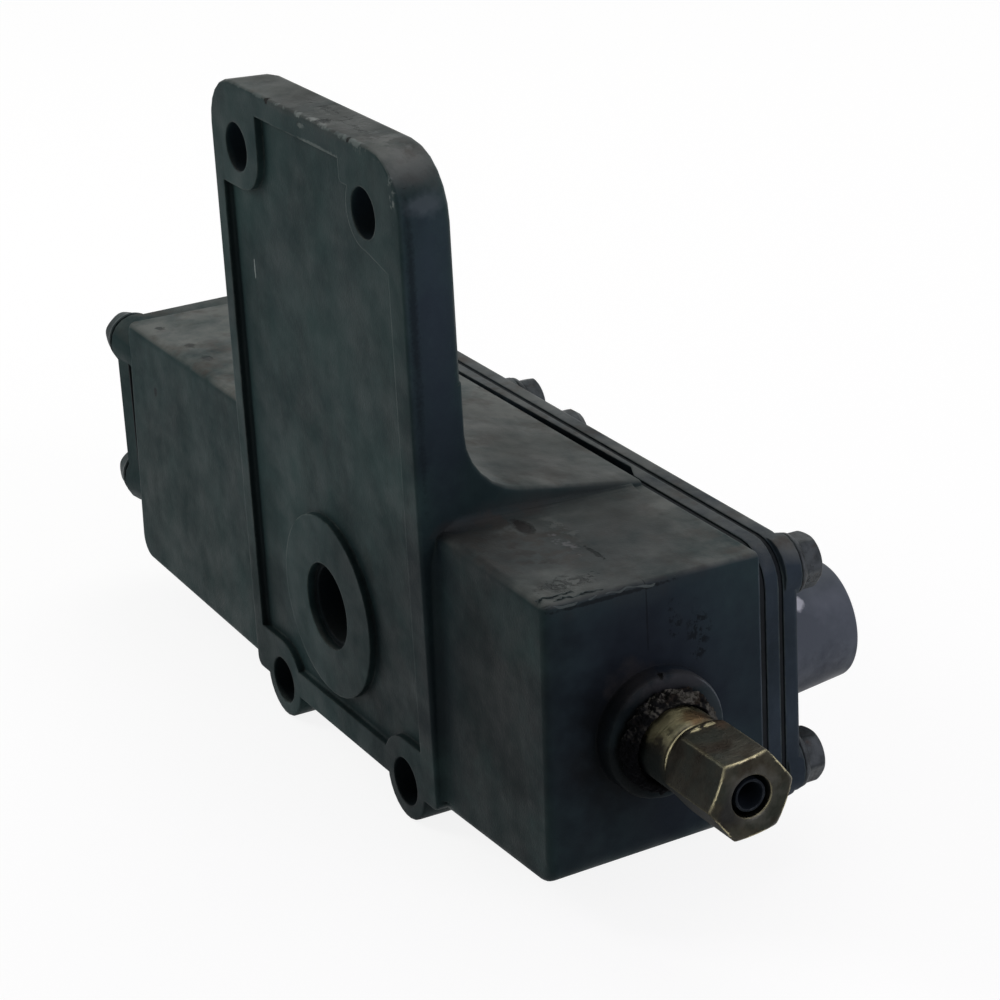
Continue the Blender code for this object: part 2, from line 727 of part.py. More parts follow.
def pry_groove():
    """Makes the cutter of the wedge-shaped groove along the joint's top edge."""
    return prism(
        "groove",
        outline(
            (PRY_LEFT, BODY_BACK, 0.0),
            (PRY_LEFT, PLATE_FRONT + PRY_NARROW, 0.0),
            (PRY_RIGHT - PRY_DEPTH, PLATE_FRONT + PRY_WIDE, 0.0),
            (PRY_RIGHT, PLATE_FRONT - SEAT, 0.0),
            (PRY_RIGHT, BODY_BACK, 0.0),
        ),
        "Z", BODY_TOP - PRY_DEPTH, BODY_TOP + OVERCUT,
    )


def joint_stack(cast, paper):
    """Makes the gaskets, the intermediate plate and the rear cover."""
    gasket = stack_layer("joint_gasket", GASKET_FRONT, GASKET_FRONT + JOINT_GASKET, GASKET_INSET)
    bolt_holes(gasket, GASKET_FRONT, GASKET_FRONT + JOINT_GASKET)
    cut(gasket, pry_groove())
    dress(gasket, "joint_gasket", paper)

    plate = stack_layer("intermediate_plate", PLATE_FRONT, PLATE_BACK, 0.0)
    bolt_holes(plate, PLATE_FRONT, PLATE_BACK)
    cut(plate, pry_groove())
    dress(plate, "intermediate_plate", cast)

    thin = stack_layer("cover_gasket", COVER_GASKET_FRONT, COVER_GASKET_FRONT + COVER_GASKET, GASKET_INSET)
    bolt_holes(thin, COVER_GASKET_FRONT, COVER_GASKET_FRONT + COVER_GASKET)
    dress(thin, "cover_gasket", paper)

    cover = stack_layer("rear_cover", COVER_FRONT, COVER_BACK, 0.0, COVER_EDGE)
    for x, z in COVER_BOLTS:
        start = (x, COVER_FRONT + SEAT, z)
        fuse(cover, rod(COVER_PAD_RADIUS, start, COVER_THICKNESS - SEAT + COVER_PAD_RISE, "Y", SMALL_SIDES))
    bolt_holes(cover, COVER_FRONT, COVER_BACK + COVER_PAD_RISE)
    stem_hole = (PLUG_X, COVER_FRONT - OVERCUT, BODY_TOP - PLUG_DROP)
    cut(cover, rod(PLUG_STEM_RADIUS + SEAT, stem_hole, COVER_THICKNESS + 2 * OVERCUT, "Y", TINY_SIDES))
    dress(cover, "rear_cover", cast)


def bolt_mesh(name, shank_radius, shank_length, head_height):
    """Makes a flanged hexagon bolt along Z, with the underside of its head at zero."""
    corner = HEAD_ACROSS / math.sqrt(3)
    top = HEAD_FLANGE + head_height
    head = loft(name, [
        [in_space("Z", point, height) for point in circle(0.0, 0.0, corner * size, 6)]
        for height, size in ((HEAD_FLANGE * 0.5, 1.0), (top - corner * 0.12, 1.0), (top, 0.86))
    ])
    skirt = turning(
        "skirt",
        [
            (-shank_length, shank_radius),
            (0.0, shank_radius),
            (0.0, HEAD_FLANGE_RADIUS * 0.96),
            (HEAD_FLANGE * 0.4, HEAD_FLANGE_RADIUS),
            (HEAD_FLANGE, HEAD_FLANGE_RADIUS * 0.88),
        ],
        COARSE_SIDES,
    )
    fuse(head, skirt)
    return head


def bolts(steel):
    """Makes the cover bolts and the cap bolts."""
    seat = COVER_BACK + COVER_PAD_RISE + SEAT
    shank = seat - BODY_BACK + COVER_BOLT_GRIP - SEAT
    first = bolt_mesh("cover_bolt_1", COVER_BOLT_RADIUS, shank, HEAD_HEIGHT)
    dress(first, "cover_bolt_1", steel, 28.0)
    for number, (x, z) in enumerate(COVER_BOLTS, start=1):
        item = first
        if number > 1:
            item = bpy.data.objects.new(f"cover_bolt_{number}", first.data)
            bpy.context.scene.collection.objects.link(item)
        place(item, (x, seat, z), "Y")

    face = CAP_OUTER - SEAT
    shank = BODY_LEFT + CAP_BOLT_GRIP - face - SEAT
    first = bolt_mesh("cap_bolt_1", CAP_BOLT_RADIUS, shank, CAP_HEAD_HEIGHT)
    dress(first, "cap_bolt_1", steel, 28.0)
    for number, (y, z) in enumerate(CAP_BOLTS, start=1):
        item = first
        if number > 1:
            item = bpy.data.objects.new(f"cap_bolt_{number}", first.data)
            bpy.context.scene.collection.objects.link(item)
        place(item, (face, y, z), "-X")


def cap_outline(shrink):
    """Returns the end cap's outline in Y and Z."""
    return rectangle(
        CAP_FRONT + shrink, BODY_BACK - CAP_BACK - shrink, CAP_FOOT + shrink, BODY_TOP - shrink,
        CAP_CORNER - shrink,
    )


def end_cap(cast, paper):
    """Makes the cap that closes the spool's bore, with a lobe round each bolt."""
    gasket_right = BODY_LEFT - SEAT
    gasket_left = gasket_right - CAP_GASKET
    gasket = prism("cap_gasket", cap_outline(GASKET_INSET), "X", gasket_left, gasket_right)
    cap_face = gasket_left - SEAT
    cap = prism("end_cap", cap_outline(0.0), "X", CAP_OUTER, cap_face, CAP_EDGE, 0.0, 2)
    for y, z in CAP_BOLTS:
        lobe = circle(y, z, CAP_LOBE_RADIUS, SMALL_SIDES)
        fuse(cap, prism("lobe", lobe, "X", CAP_OUTER, cap_face, CAP_EDGE, 0.0, 2))
    spigot = SPOOL_BORE_RADIUS - RUNNING
    fuse(cap, rod(spigot, (CAP_OUTER + SEAT, SPOOL_Y, SPOOL_Z), spigot_end() - CAP_OUTER - SEAT, "X"))
    cut(gasket, rod(SPOOL_BORE_RADIUS, (gasket_left - OVERCUT, SPOOL_Y, SPOOL_Z), 3 * OVERCUT, "X"))
    for y, z in CAP_BOLTS:
        for layer in (cap, gasket):
            start = (CAP_OUTER - OVERCUT, y, z)
            length = BODY_LEFT - CAP_OUTER + 2 * OVERCUT
            cut(layer, rod(CAP_BOLT_RADIUS + BOLT_CLEARANCE, start, length, "X", TINY_SIDES))
    dress(cap, "end_cap", cast)
    dress(gasket, "cap_gasket", paper)


def spigot_end():
    """Returns where the cap's spigot ends, which is where the spring stands."""
    return BODY_LEFT + CAP_SPIGOT_LENGTH


def breather_plug(steel):
    """Makes the small round plug near the cover's top edge."""
    plug = turning(
        "plug",
        [
            (-COVER_THICKNESS + SEAT, PLUG_STEM_RADIUS),
            (0.0, PLUG_STEM_RADIUS),
            (0.0, PLUG_RADIUS),
            (PLUG_HEIGHT * 0.75, PLUG_RADIUS),
            (PLUG_HEIGHT, PLUG_RADIUS * 0.8),
        ],
        SMALL_SIDES,
    )
    place(plug, (PLUG_X, COVER_BACK + SEAT, BODY_TOP - PLUG_DROP), "Y")
    dress(plug, "breather_plug", steel)


def spool_lands():
    """Returns the (start, stop) of each land along the spool, from its left end."""
    pitch = (SPOOL_LENGTH - SPOOL_LAND_LENGTH) / (SPOOL_LANDS - 1)
    return [(pitch * i, pitch * i + SPOOL_LAND_LENGTH) for i in range(SPOOL_LANDS)]


def spool_group(steel, rubber):
    """Makes the spool with a sealing ring in each land, and its return spring."""
    land = SPOOL_BORE_RADIUS - RUNNING
    profile = []
    for start, stop in spool_lands():
        middle = (start + stop) / 2
        groove = SPOOL_SEAL_WIDTH / 2 + SEAT
        profile += [
            (start, SPOOL_WAIST_RADIUS), (start, land),
            (middle - groove, land), (middle - groove, land - SPOOL_SEAL_GROOVE),
            (middle + groove, land - SPOOL_SEAL_GROOVE), (middle + groove, land),
            (stop, land), (stop, SPOOL_WAIST_RADIUS),
        ]
    left = SPOOL_STOP - SEAT - SPOOL_LENGTH
    origin = (left, SPOOL_Y, SPOOL_Z)
    spool = turning("spool", profile[1:-1], SMALL_SIDES)
    dress(place(spool, origin, "X"), "spool", steel)
    for number, (start, stop) in enumerate(spool_lands(), start=1):
        low = (start + stop - SPOOL_SEAL_WIDTH) / 2
        high = low + SPOOL_SEAL_WIDTH
        inner = land - SPOOL_SEAL_GROOVE + SEAT
        section = [(low, inner), (low, land), (high, land), (high, inner)]
        seal = turning("seal", section, SMALL_SIDES, closed=True)
        dress(place(seal, origin, "X"), f"spool_seal_{number}", rubber)
    return_spring(left, steel)


def return_spring(spool_left, steel):
    """Makes the coil spring between the cap's spigot and the spool."""
    clear = SEAT + SPRING_WIRE_RADIUS
    start = spigot_end() + clear
    length = spool_left - clear - start
    steps = int(SPRING_TURNS * SPRING_STEPS)
    rise = length / (math.tau * SPRING_TURNS)
    rings = []
    for index in range(steps + 1):
        angle = math.tau * SPRING_TURNS * index / steps
        outward = Vector((0.0, math.cos(angle), math.sin(angle)))
        tangent = Vector((rise, -SPRING_RADIUS * outward.z, SPRING_RADIUS * outward.y)).normalized()
        side = tangent.cross(outward)
        centre = outward * SPRING_RADIUS + Vector((rise * angle, 0.0, 0.0))
        rings.append([
            centre + outward * point.x + side * point.y
            for point in circle(0.0, 0.0, SPRING_WIRE_RADIUS, SPRING_SIDES)
        ])
    spring = loft("return_spring", rings)
    spring.location = (start, SPOOL_Y, SPOOL_Z)
    dress(spring, "return_spring", steel, 70.0)


def fitting(brass, plastic, sealant):
    """Makes the fitting's body, its union nut, the tube end in it and the old sealant."""
    seat = BOSS_FACE + SEAT
    collar_end = FITTING_COLLAR_LENGTH
    neck_end = collar_end + FITTING_NECK_LENGTH
    socket = TUBE_RADIUS + SEAT
    tube_start = neck_end - TUBE_INSERTION
    body = turning(
        "fitting_body",
        [
            (-THREAD_LENGTH, AIRWAY_RADIUS), (-THREAD_LENGTH, THREAD_RADIUS - 0.6 * MM),
            (-THREAD_LENGTH + 0.6 * MM, THREAD_RADIUS), (0.0, THREAD_RADIUS),
            (0.0, FITTING_COLLAR_RADIUS), (collar_end - 1.4 * MM, FITTING_COLLAR_RADIUS),
            (collar_end - 0.4 * MM, FITTING_COLLAR_RADIUS - 0.35 * MM), (collar_end, FITTING_NECK_RADIUS),
            (neck_end, FITTING_NECK_RADIUS), (neck_end, socket),
            (tube_start - SEAT, socket), (tube_start - SEAT, AIRWAY_RADIUS),
        ],
        MEDIUM_SIDES, closed=True,
    )
    dress(place(body, (seat, SPOOL_Y, SPOOL_Z), "X"), "fitting_body", brass)

    nut_start = seat + neck_end + SEAT
    corner = NUT_ACROSS / math.sqrt(3)
    hexagon = [turned_vector(point, NUT_TURN) for point in circle(0.0, 0.0, corner, 6)]
    nut = prism("nut", hexagon, "Z", 0.0, NUT_LENGTH)
    dome = turning(
        "dome",
        [
            (0.0, NUT_BACK_RADIUS), (NUT_BACK_CHAMFER, corner + 0.3 * MM),
            (NUT_LENGTH - NUT_FACE_CHAMFER, corner + 0.1 * MM), (NUT_LENGTH, NUT_FACE_RADIUS),
        ],
        FINE_SIDES,
    )
    combine(nut, dome, "INTERSECT")
    cut(nut, rod(NUT_MOUTH_RADIUS, (0.0, 0.0, -OVERCUT), NUT_LENGTH + 2 * OVERCUT, "Z"))
    dress(place(nut, (nut_start, SPOOL_Y, SPOOL_Z), "X"), "fitting_nut", brass, 25.0)

    tube = turning(
        "tube",
        [
            (seat + tube_start, AIRWAY_RADIUS), (seat + tube_start, TUBE_RADIUS),
            (nut_start + NUT_LENGTH - TUBE_RECESS - 0.3 * MM, TUBE_RADIUS),
            (nut_start + NUT_LENGTH - TUBE_RECESS, TUBE_RADIUS - 0.3 * MM),
            (nut_start + NUT_LENGTH - TUBE_RECESS, AIRWAY_RADIUS),
        ],
        SMALL_SIDES, closed=True,
    )
    dress(place(tube, (0.0, SPOOL_Y, SPOOL_Z), "X"), "fitting_tube", plastic)
    sealant_bead(seat, sealant)


def sealant_bead(seat, sealant):
    """Makes the lumpy ring of old sealant round the collar's foot."""
    inner = FITTING_COLLAR_RADIUS + SEAT
    model = bmesh.new()
    rings = []
    for index in range(FINE_SIDES):
        angle = math.tau * index / FINE_SIDES
        waves = math.sin(3 * angle + 0.7) + 0.6 * math.sin(7 * angle) + 0.4 * math.sin(13 * angle + 2)
        lump = SEALANT_LUMP * waves
        outer = SEALANT_OUTER + lump * 0.6
        height = SEALANT_HEIGHT + lump * 0.5
        section = [
            (inner, 0.0), (outer, 0.0), (outer - 0.3 * MM, height * 0.45),
            (inner + (outer - inner) * 0.45, height), (inner, height * 0.85),
        ]
        rings.append([
            model.verts.new((radius * math.cos(angle), radius * math.sin(angle), z)) for radius, z in section
        ])
    for index in range(FINE_SIDES):
        here, after = rings[index], rings[(index + 1) % FINE_SIDES]
        for corner in range(len(here)):
            beyond = (corner + 1) % len(here)
            model.faces.new((here[corner], here[beyond], after[beyond], after[corner]))
    bmesh.ops.recalc_face_normals(model, faces=model.faces)
    bead = finish("sealant_bead", model)
    dress(place(bead, (seat, SPOOL_Y, SPOOL_Z), "X"), "sealant_bead", sealant)


def connector(shell_material, insert_material, pin_material, rubber):
    """Makes the round connector: shell, insert, sealing ring and contact pins."""
    base = COVER_BACK + SEAT
    bore = CONNECTOR_TIP_RADIUS - CONNECTOR_WALL
    fillet = CONNECTOR_FILLET
    shell = turning(
        "shell",
        [
            (0.0, 0.0), (0.0, CONNECTOR_FLANGE_RADIUS), (CONNECTOR_FLANGE, CONNECTOR_FLANGE_RADIUS),
            (CONNECTOR_FLANGE, CONNECTOR_RADIUS + fillet * 0.5),
            (CONNECTOR_FLANGE + fillet, CONNECTOR_RADIUS),
            (CONNECTOR_LENGTH - CONNECTOR_EDGE, CONNECTOR_TIP_RADIUS),
            (CONNECTOR_LENGTH - CONNECTOR_EDGE * 0.3, CONNECTOR_TIP_RADIUS - CONNECTOR_EDGE * 0.3),
            (CONNECTOR_LENGTH, CONNECTOR_TIP_RADIUS - CONNECTOR_EDGE),
            (CONNECTOR_LENGTH, bore + 0.3 * MM), (CONNECTOR_LENGTH - 0.3 * MM, bore),
            (CONNECTOR_FLOOR, bore), (CONNECTOR_FLOOR, 0.0),
        ],
        MEDIUM_SIDES,
    )
    dress(place(shell, (CONNECTOR_X, base, CONNECTOR_Z), "Y"), "connector_shell", shell_material)

    floor = base + CONNECTOR_FLOOR + SEAT
    rim = bore - SEAT
    insert = turning(
        "insert",
        [(0.0, rim), (INSERT_HEIGHT - 0.4 * MM, rim), (INSERT_HEIGHT, rim - 0.4 * MM)],
        MEDIUM_SIDES,
    )
    angles = [math.tau * (i + 0.5) / PIN_COUNT for i in range(PIN_COUNT)]
    places = [(PIN_CIRCLE * math.cos(angle), PIN_CIRCLE * math.sin(angle)) for angle in angles]
    for x, z in places:
        cut(insert, rod(PIN_RADIUS + SEAT, (x, -z, -OVERCUT), INSERT_HEIGHT + 2 * OVERCUT, "Z", TINY_SIDES))
    dress(place(insert, (CONNECTOR_X, floor, CONNECTOR_Z), "Y"), "connector_insert", insert_material)
    first = turning(
        "pin",
        [(0.0, PIN_RADIUS), (PIN_LENGTH - PIN_RADIUS, PIN_RADIUS), (PIN_LENGTH, PIN_RADIUS * 0.4)],
        TINY_SIDES,
    )
    dress(first, "connector_pin_1", pin_material)
    for number, (x, z) in enumerate(places, start=1):
        item = first
        if number > 1:
            item = bpy.data.objects.new(f"connector_pin_{number}", first.data)
            bpy.context.scene.collection.objects.link(item)
        place(item, (CONNECTOR_X + x, floor, CONNECTOR_Z + z), "Y")
    low = INSERT_HEIGHT + SEAT
    seal = turning(
        "seal",
        [
            (low, rim - CONNECTOR_SEAL_WIDTH), (low, rim), (low + CONNECTOR_SEAL_HEIGHT * 0.7, rim),
            (low + CONNECTOR_SEAL_HEIGHT, rim - CONNECTOR_SEAL_WIDTH * 0.4),
            (low + CONNECTOR_SEAL_HEIGHT, rim - CONNECTOR_SEAL_WIDTH),
        ],
        MEDIUM_SIDES, closed=True,
    )
    dress(place(seal, (CONNECTOR_X, floor, CONNECTOR_Z), "Y"), "connector_seal", rubber)


def build():
    """Builds every piece of the valve."""
    clear_scene()
    cast = make_material("painted_casting", (0.030, 0.038, 0.040), 0.5, 0.2)
    paper = make_material("gasket", (0.010, 0.010, 0.011), 0.8, 0.0)
    steel = make_material("dark_steel", (0.070, 0.070, 0.075), 0.45, 0.8)
    bright = make_material("ground_steel", (0.45, 0.45, 0.46), 0.3, 1.0)
    brass = make_material("brass", (0.35, 0.26, 0.12), 0.4, 1.0)
    plastic = make_material("tube_plastic", (0.040, 0.045, 0.055), 0.4, 0.0)
    sealant = make_material("sealant", (0.09, 0.085, 0.075), 0.8, 0.0)
    rubber = make_material("seal_rubber", (0.012, 0.012, 0.013), 0.6, 0.0)
    shell = make_material("connector_plastic", (0.065, 0.072, 0.085), 0.5, 0.0)
    insert = make_material("insert_plastic", (0.018, 0.018, 0.020), 0.5, 0.0)
    pins = make_material("tinned_contact", (0.50, 0.50, 0.48), 0.3, 1.0)

    housing(cast)
    joint_stack(cast, paper)
    end_cap(cast, paper)
    bolts(steel)
    breather_plug(steel)
    spool_group(bright, rubber)
    fitting(brass, plastic, sealant)
    connector(shell, insert, pins, rubber)


build()
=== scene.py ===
"""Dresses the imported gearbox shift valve: casting, joint stack, bolts, fitting, connector and spool."""
import logging
import math
from dataclasses import dataclass
from enum import Enum
from typing import Any, Sequence

import bmesh
import bpy
import numpy as np
from mathutils import Matrix, Vector


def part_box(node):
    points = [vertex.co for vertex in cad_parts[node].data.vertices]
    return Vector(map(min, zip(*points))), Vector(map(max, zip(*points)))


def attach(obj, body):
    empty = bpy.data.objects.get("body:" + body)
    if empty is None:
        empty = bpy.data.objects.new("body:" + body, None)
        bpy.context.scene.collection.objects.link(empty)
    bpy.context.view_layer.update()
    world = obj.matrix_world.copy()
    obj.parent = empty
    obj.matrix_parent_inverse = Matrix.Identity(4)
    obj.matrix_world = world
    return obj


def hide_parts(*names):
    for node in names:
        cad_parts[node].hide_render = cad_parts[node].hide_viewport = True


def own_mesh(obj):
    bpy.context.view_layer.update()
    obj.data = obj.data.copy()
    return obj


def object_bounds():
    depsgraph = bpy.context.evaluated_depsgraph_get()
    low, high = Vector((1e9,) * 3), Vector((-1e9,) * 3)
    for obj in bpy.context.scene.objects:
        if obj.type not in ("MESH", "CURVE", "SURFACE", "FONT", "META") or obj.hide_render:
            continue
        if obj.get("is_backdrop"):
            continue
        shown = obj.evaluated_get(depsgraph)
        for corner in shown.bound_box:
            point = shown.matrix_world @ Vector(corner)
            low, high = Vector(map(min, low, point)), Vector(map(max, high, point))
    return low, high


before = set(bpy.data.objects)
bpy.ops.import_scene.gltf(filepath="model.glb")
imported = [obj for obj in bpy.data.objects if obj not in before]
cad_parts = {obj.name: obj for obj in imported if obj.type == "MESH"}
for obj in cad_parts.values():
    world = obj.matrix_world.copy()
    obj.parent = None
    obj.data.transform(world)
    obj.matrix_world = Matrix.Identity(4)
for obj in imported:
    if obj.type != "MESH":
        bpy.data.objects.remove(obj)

log = logging.getLogger("shift_valve")
MM = 0.001
VALVE = "valve"
BODY_RIGHT_MM = 74.6
BODY_TOP_MM = 50.2
BODY_FRONT_MM = 3.0
BODY_DEPTH_MM = 40.6
WHITE = (1.0, 1.0, 1.0, 1.0)
Row = np.ndarray
Link = Any


def linear(text: str) -> tuple[float, float, float, float]:
    """Turns an sRGB hex colour into linear light.

    Args:
        text: The colour, such as "#39464a".

    Returns:
        Red, green, blue and an alpha of one.
    """
    parts = np.array([int(text[i:i + 2], 16) for i in (1, 3, 5)]) / 255.0
    light = np.where(parts <= 0.04045, parts / 12.92, ((parts + 0.055) / 1.055) ** 2.4)
    return (float(light[0]), float(light[1]), float(light[2]), 1.0)


def add(tree: bpy.types.NodeTree, kind: str, settings: dict[str, Any],
        links: dict[Any, Link]) -> bpy.types.Node:
    """Adds a node with its settings and links.

    Args:
        tree: The material's node tree.
        kind: The node's type name.
        settings: Attributes to set before the inputs.
        links: Input name or number, with a socket to link or a value to set.

    Returns:
        The new node.
    """
    node = tree.nodes.new(kind)
    for name, value in settings.items():
        setattr(node, name, value)
    for key, value in links.items():
        if isinstance(value, bpy.types.NodeSocket):
            tree.links.new(value, node.inputs[key])
        else:
            node.inputs[key].default_value = value
    return node


class Facing(Enum):
    """The way that a bolt's or a turned piece's axis points."""

    RIGHT = "+X"
    LEFT = "-X"
    BACK = "+Y"

    def frame(self) -> Row:
        """Gives the directions that a turned piece is built on.

        Returns:
            Three rows: the axis, and two directions across it.
        """
        axes = {
            Facing.RIGHT: ((1, 0, 0), (0, 1, 0), (0, 0, 1)),
            Facing.LEFT: ((-1, 0, 0), (0, -1, 0), (0, 0, 1)),
            Facing.BACK: ((0, 1, 0), (0, 0, 1), (1, 0, 0)),
        }
        return np.array(axes[self], float)


@dataclass(frozen=True)
class Mark:
    """One local patch of another colour on a finish: a stain, chip, scratch or dent.

    The centre and the half sizes are in millimetres. A soft mark fades over that share of its
    size, a broken one is split into flecks of that many millimetres, and a deep one is pressed in.
    """

    centre: tuple[float, float, float]
    size: tuple[float, float, float]
    colour: str
    strength: float = 0.8
    soft: float = 0.2
    broken_mm: float = 0.0
    depth_mm: float = 0.0
    raggedness: float = 0.7


class Pattern:
    """Builds masks and bumps in one material's tree, from Object coordinates."""

    def __init__(self, name: str) -> None:
        """Starts a material whose patterns all share one set of coordinates.

        Args:
            name: The material's name.
        """
        self.material = bpy.data.materials.new(name)
        self.material.use_nodes = True
        self.tree = self.material.node_tree
        self.shader = self.tree.nodes["Principled BSDF"]
        self.place = add(self.tree, "ShaderNodeTexCoord", {}, {}).outputs["Object"]
        self.normal: Link = None
        self.shared: dict[float, Link] = {}

    def patches(self, size_mm: float, low: float, high: float, seed: float = 0.0, detail: float = 4.0,
                stretch: tuple[float, float, float] = (1.0, 1.0, 1.0)) -> Link:
        """Makes soft or sharp patches of noise.

        Args:
            size_mm: Size of one patch.
            low: Noise value where a patch begins.
            high: Noise value where it is full.
            seed: Picks another pattern of the same kind.
            detail: How much finer noise is added.
            stretch: Share of the frequency along X, Y and Z.

        Returns:
            A socket from zero to one.
        """
        away = tuple(seed * share for share in (0.031, -0.047, 0.023))
        pulled = add(self.tree, "ShaderNodeVectorMath", {"operation": "MULTIPLY_ADD"}, {
            0: self.place, 1: stretch, 2: away,
        })
        noise = add(self.tree, "ShaderNodeTexNoise", {}, {
            "Vector": pulled.outputs[0], "Scale": 1.0 / (size_mm * MM), "Detail": detail, "Roughness": 0.6,
        })
        return add(self.tree, "ShaderNodeMapRange", {}, {
            0: noise.outputs[0], 1: low, 2: high, 3: 0.0, 4: 1.0,
        }).outputs[0]

    def times(self, first: Link, second: Link) -> Link:
        """Returns the product of two masks or numbers."""
        return add(self.tree, "ShaderNodeMath", {"operation": "MULTIPLY"}, {0: first, 1: second}).outputs[0]

    def either(self, first: Link, second: Link) -> Link:
        """Returns the greater of two masks."""
        return add(self.tree, "ShaderNodeMath", {"operation": "MAXIMUM"}, {0: first, 1: second}).outputs[0]

    def between(self, value: Link, low: float, high: float, start: float = 0.0,
                stop: float = 1.0) -> Link:
        """Maps a value's range from low to high onto start to stop, and holds it there."""
        ends = {0: value, 1: low, 2: high, 3: start, 4: stop}
        return add(self.tree, "ShaderNodeMapRange", {}, ends).outputs[0]

    def coat(self, under: Link, over: Link, mask: Link) -> Link:
        """Lays one colour over another where the mask is."""
        layers = {0: mask, 6: under, 7: over}
        return add(self.tree, "ShaderNodeMix", {"data_type": "RGBA"}, layers).outputs[2]

    def patchy(self, mask: Link, size_mm: float, low: float, high: float, seed: float = 0.0,
               detail: float = 4.0) -> Link:
        """Breaks a mask, or a plain share, up into patches of noise."""
        return self.times(self.patches(size_mm, low, high, seed, detail), mask)

    def facing_up(self, low: float, high: float) -> Link:
        """Finds where the surface faces up, by its normal's Z.

        Args:
            low: Z of the normal where the mask begins.
            high: Z of the normal where it is full.

        Returns:
            A mask from zero to one.
        """
        normal = add(self.tree, "ShaderNodeNewGeometry", {}, {}).outputs["Normal"]
        parts = add(self.tree, "ShaderNodeSeparateXYZ", {}, {0: normal})
        return self.between(parts.outputs[2], low, high)

    def facing(self, direction: tuple[float, float, float], low: float, high: float) -> Link:
        """Finds where the surface faces a direction, by the cosine between it and the normal.

        Args:
            direction: The direction, about one long.
            low: Cosine where the mask begins.
            high: Cosine where it is full.

        Returns:
            A mask from zero to one.
        """
        normal = add(self.tree, "ShaderNodeNewGeometry", {}, {}).outputs["Normal"]
        dot = add(self.tree, "ShaderNodeVectorMath", {"operation": "DOT_PRODUCT"}, {
            0: normal, 1: direction,
        })
        return self.between(dot.outputs["Value"], low, high)

    def edges(self, radius_mm: float, full: float = 0.80) -> Link:
        """Returns where an edge is near, and softens the edges' normal.

        Args:
            radius_mm: How far the softening reaches.
            full: Dot product of the rounded and the plain normal at which the mask is full.

        Returns:
            A mask from zero to one.
        """
        rounded = add(self.tree, "ShaderNodeBevel", {"samples": 4}, {"Radius": radius_mm * MM}).outputs[0]
        plain = add(self.tree, "ShaderNodeNewGeometry", {}, {}).outputs["Normal"]
        dot = add(self.tree, "ShaderNodeVectorMath", {"operation": "DOT_PRODUCT"}, {0: rounded, 1: plain})
        self.normal = rounded
        return self.between(dot.outputs["Value"], 0.995, full)

    def openness(self, distance_mm: float) -> Link:
        """Returns how much open space lies in front of the surface, from none to all."""
        node = add(self.tree, "ShaderNodeAmbientOcclusion", {"samples": 4}, {"Distance": distance_mm * MM})
        return node.outputs["AO"]

    def hollows(self, distance_mm: float) -> Link:
        """Returns where dirt gathers and shade falls, by how little open space lies in front of the
        surface.
        """
        return self.between(self.openness(distance_mm), 0.80, 0.35)

    def ragged(self, size_mm: float) -> Link:
        """Makes noise of about one size once, and shares it among the marks that need it.

        Args:
            size_mm: The size wanted; the nearest of three is taken.

        Returns:
            A socket from zero to one.
        """
        nearest = min((0.8, 3.0, 12.0), key=lambda step: abs(math.log(step / size_mm)))
        if nearest not in self.shared:
            self.shared[nearest] = self.patches(nearest, 0.3, 0.7, seed=30.0 + nearest, detail=3.0)
        return self.shared[nearest]

    def flecks(self, size_mm: float) -> Link:
        """Makes sharp flecks of about one size once, and shares them like the ragged noise.

        Args:
            size_mm: The size wanted; the nearest of three is taken.

        Returns:
            A mask from zero to one.
        """
        nearest = min((1.2, 2.4, 4.8), key=lambda step: abs(math.log(step / size_mm)))
        if -nearest not in self.shared:
            self.shared[-nearest] = self.patches(nearest, 0.49, 0.56, seed=60.0 + nearest, detail=4.0)
        return self.shared[-nearest]

    def spot(self, mark: Mark) -> Link:
        """Makes the mask of one mark: an ellipsoid with a ragged rim.

        The distance from the centre, in half sizes, has noise added to it, and the mask falls
        to zero across the rim, which lies at the distance one with the noise's middle added.

        Args:
            mark: The mark.

        Returns:
            A mask from zero to the mark's strength.
        """
        offset = add(self.tree, "ShaderNodeVectorMath", {"operation": "SUBTRACT"}, {
            0: self.place, 1: tuple(v * MM for v in mark.centre),
        })
        scaled = add(self.tree, "ShaderNodeVectorMath", {"operation": "DIVIDE"}, {
            0: offset.outputs[0], 1: tuple(v * MM for v in mark.size),
        })
        reach = add(self.tree, "ShaderNodeVectorMath", {"operation": "LENGTH"}, {0: scaled.outputs[0]})
        noise = self.ragged(sorted(mark.size)[1])
        edge = add(self.tree, "ShaderNodeMath", {"operation": "MULTIPLY_ADD"}, {
            0: noise, 1: mark.raggedness, 2: reach.outputs["Value"],
        })
        rim = 0.85 + 0.5 * mark.raggedness
        mask = self.between(edge.outputs[0], rim + mark.soft, rim - mark.soft, 0.0, mark.strength)
        if mark.broken_mm:
            mask = self.times(mask, self.flecks(mark.broken_mm))
        return mask

    def mark(self, colour: Link, marks: Sequence[Mark]) -> Link:
        """Lays marks over a colour, one after another, and presses the deep ones in.

        Args:
            colour: The colour under them.
            marks: The marks, the lowest first.

        Returns:
            The colour with the marks on it.
        """
        sunk: Link = 0.0
        for mark in marks:
            mask = self.spot(mark)
            colour = self.coat(colour, linear(mark.colour), mask)
            if mark.depth_mm:
                sunk = add(self.tree, "ShaderNodeMath", {"operation": "MULTIPLY_ADD"}, {
                    0: mask, 1: -mark.depth_mm, 2: sunk,
                }).outputs[0]
        if isinstance(sunk, bpy.types.NodeSocket):
            self.press(sunk, 1.0)
        return colour

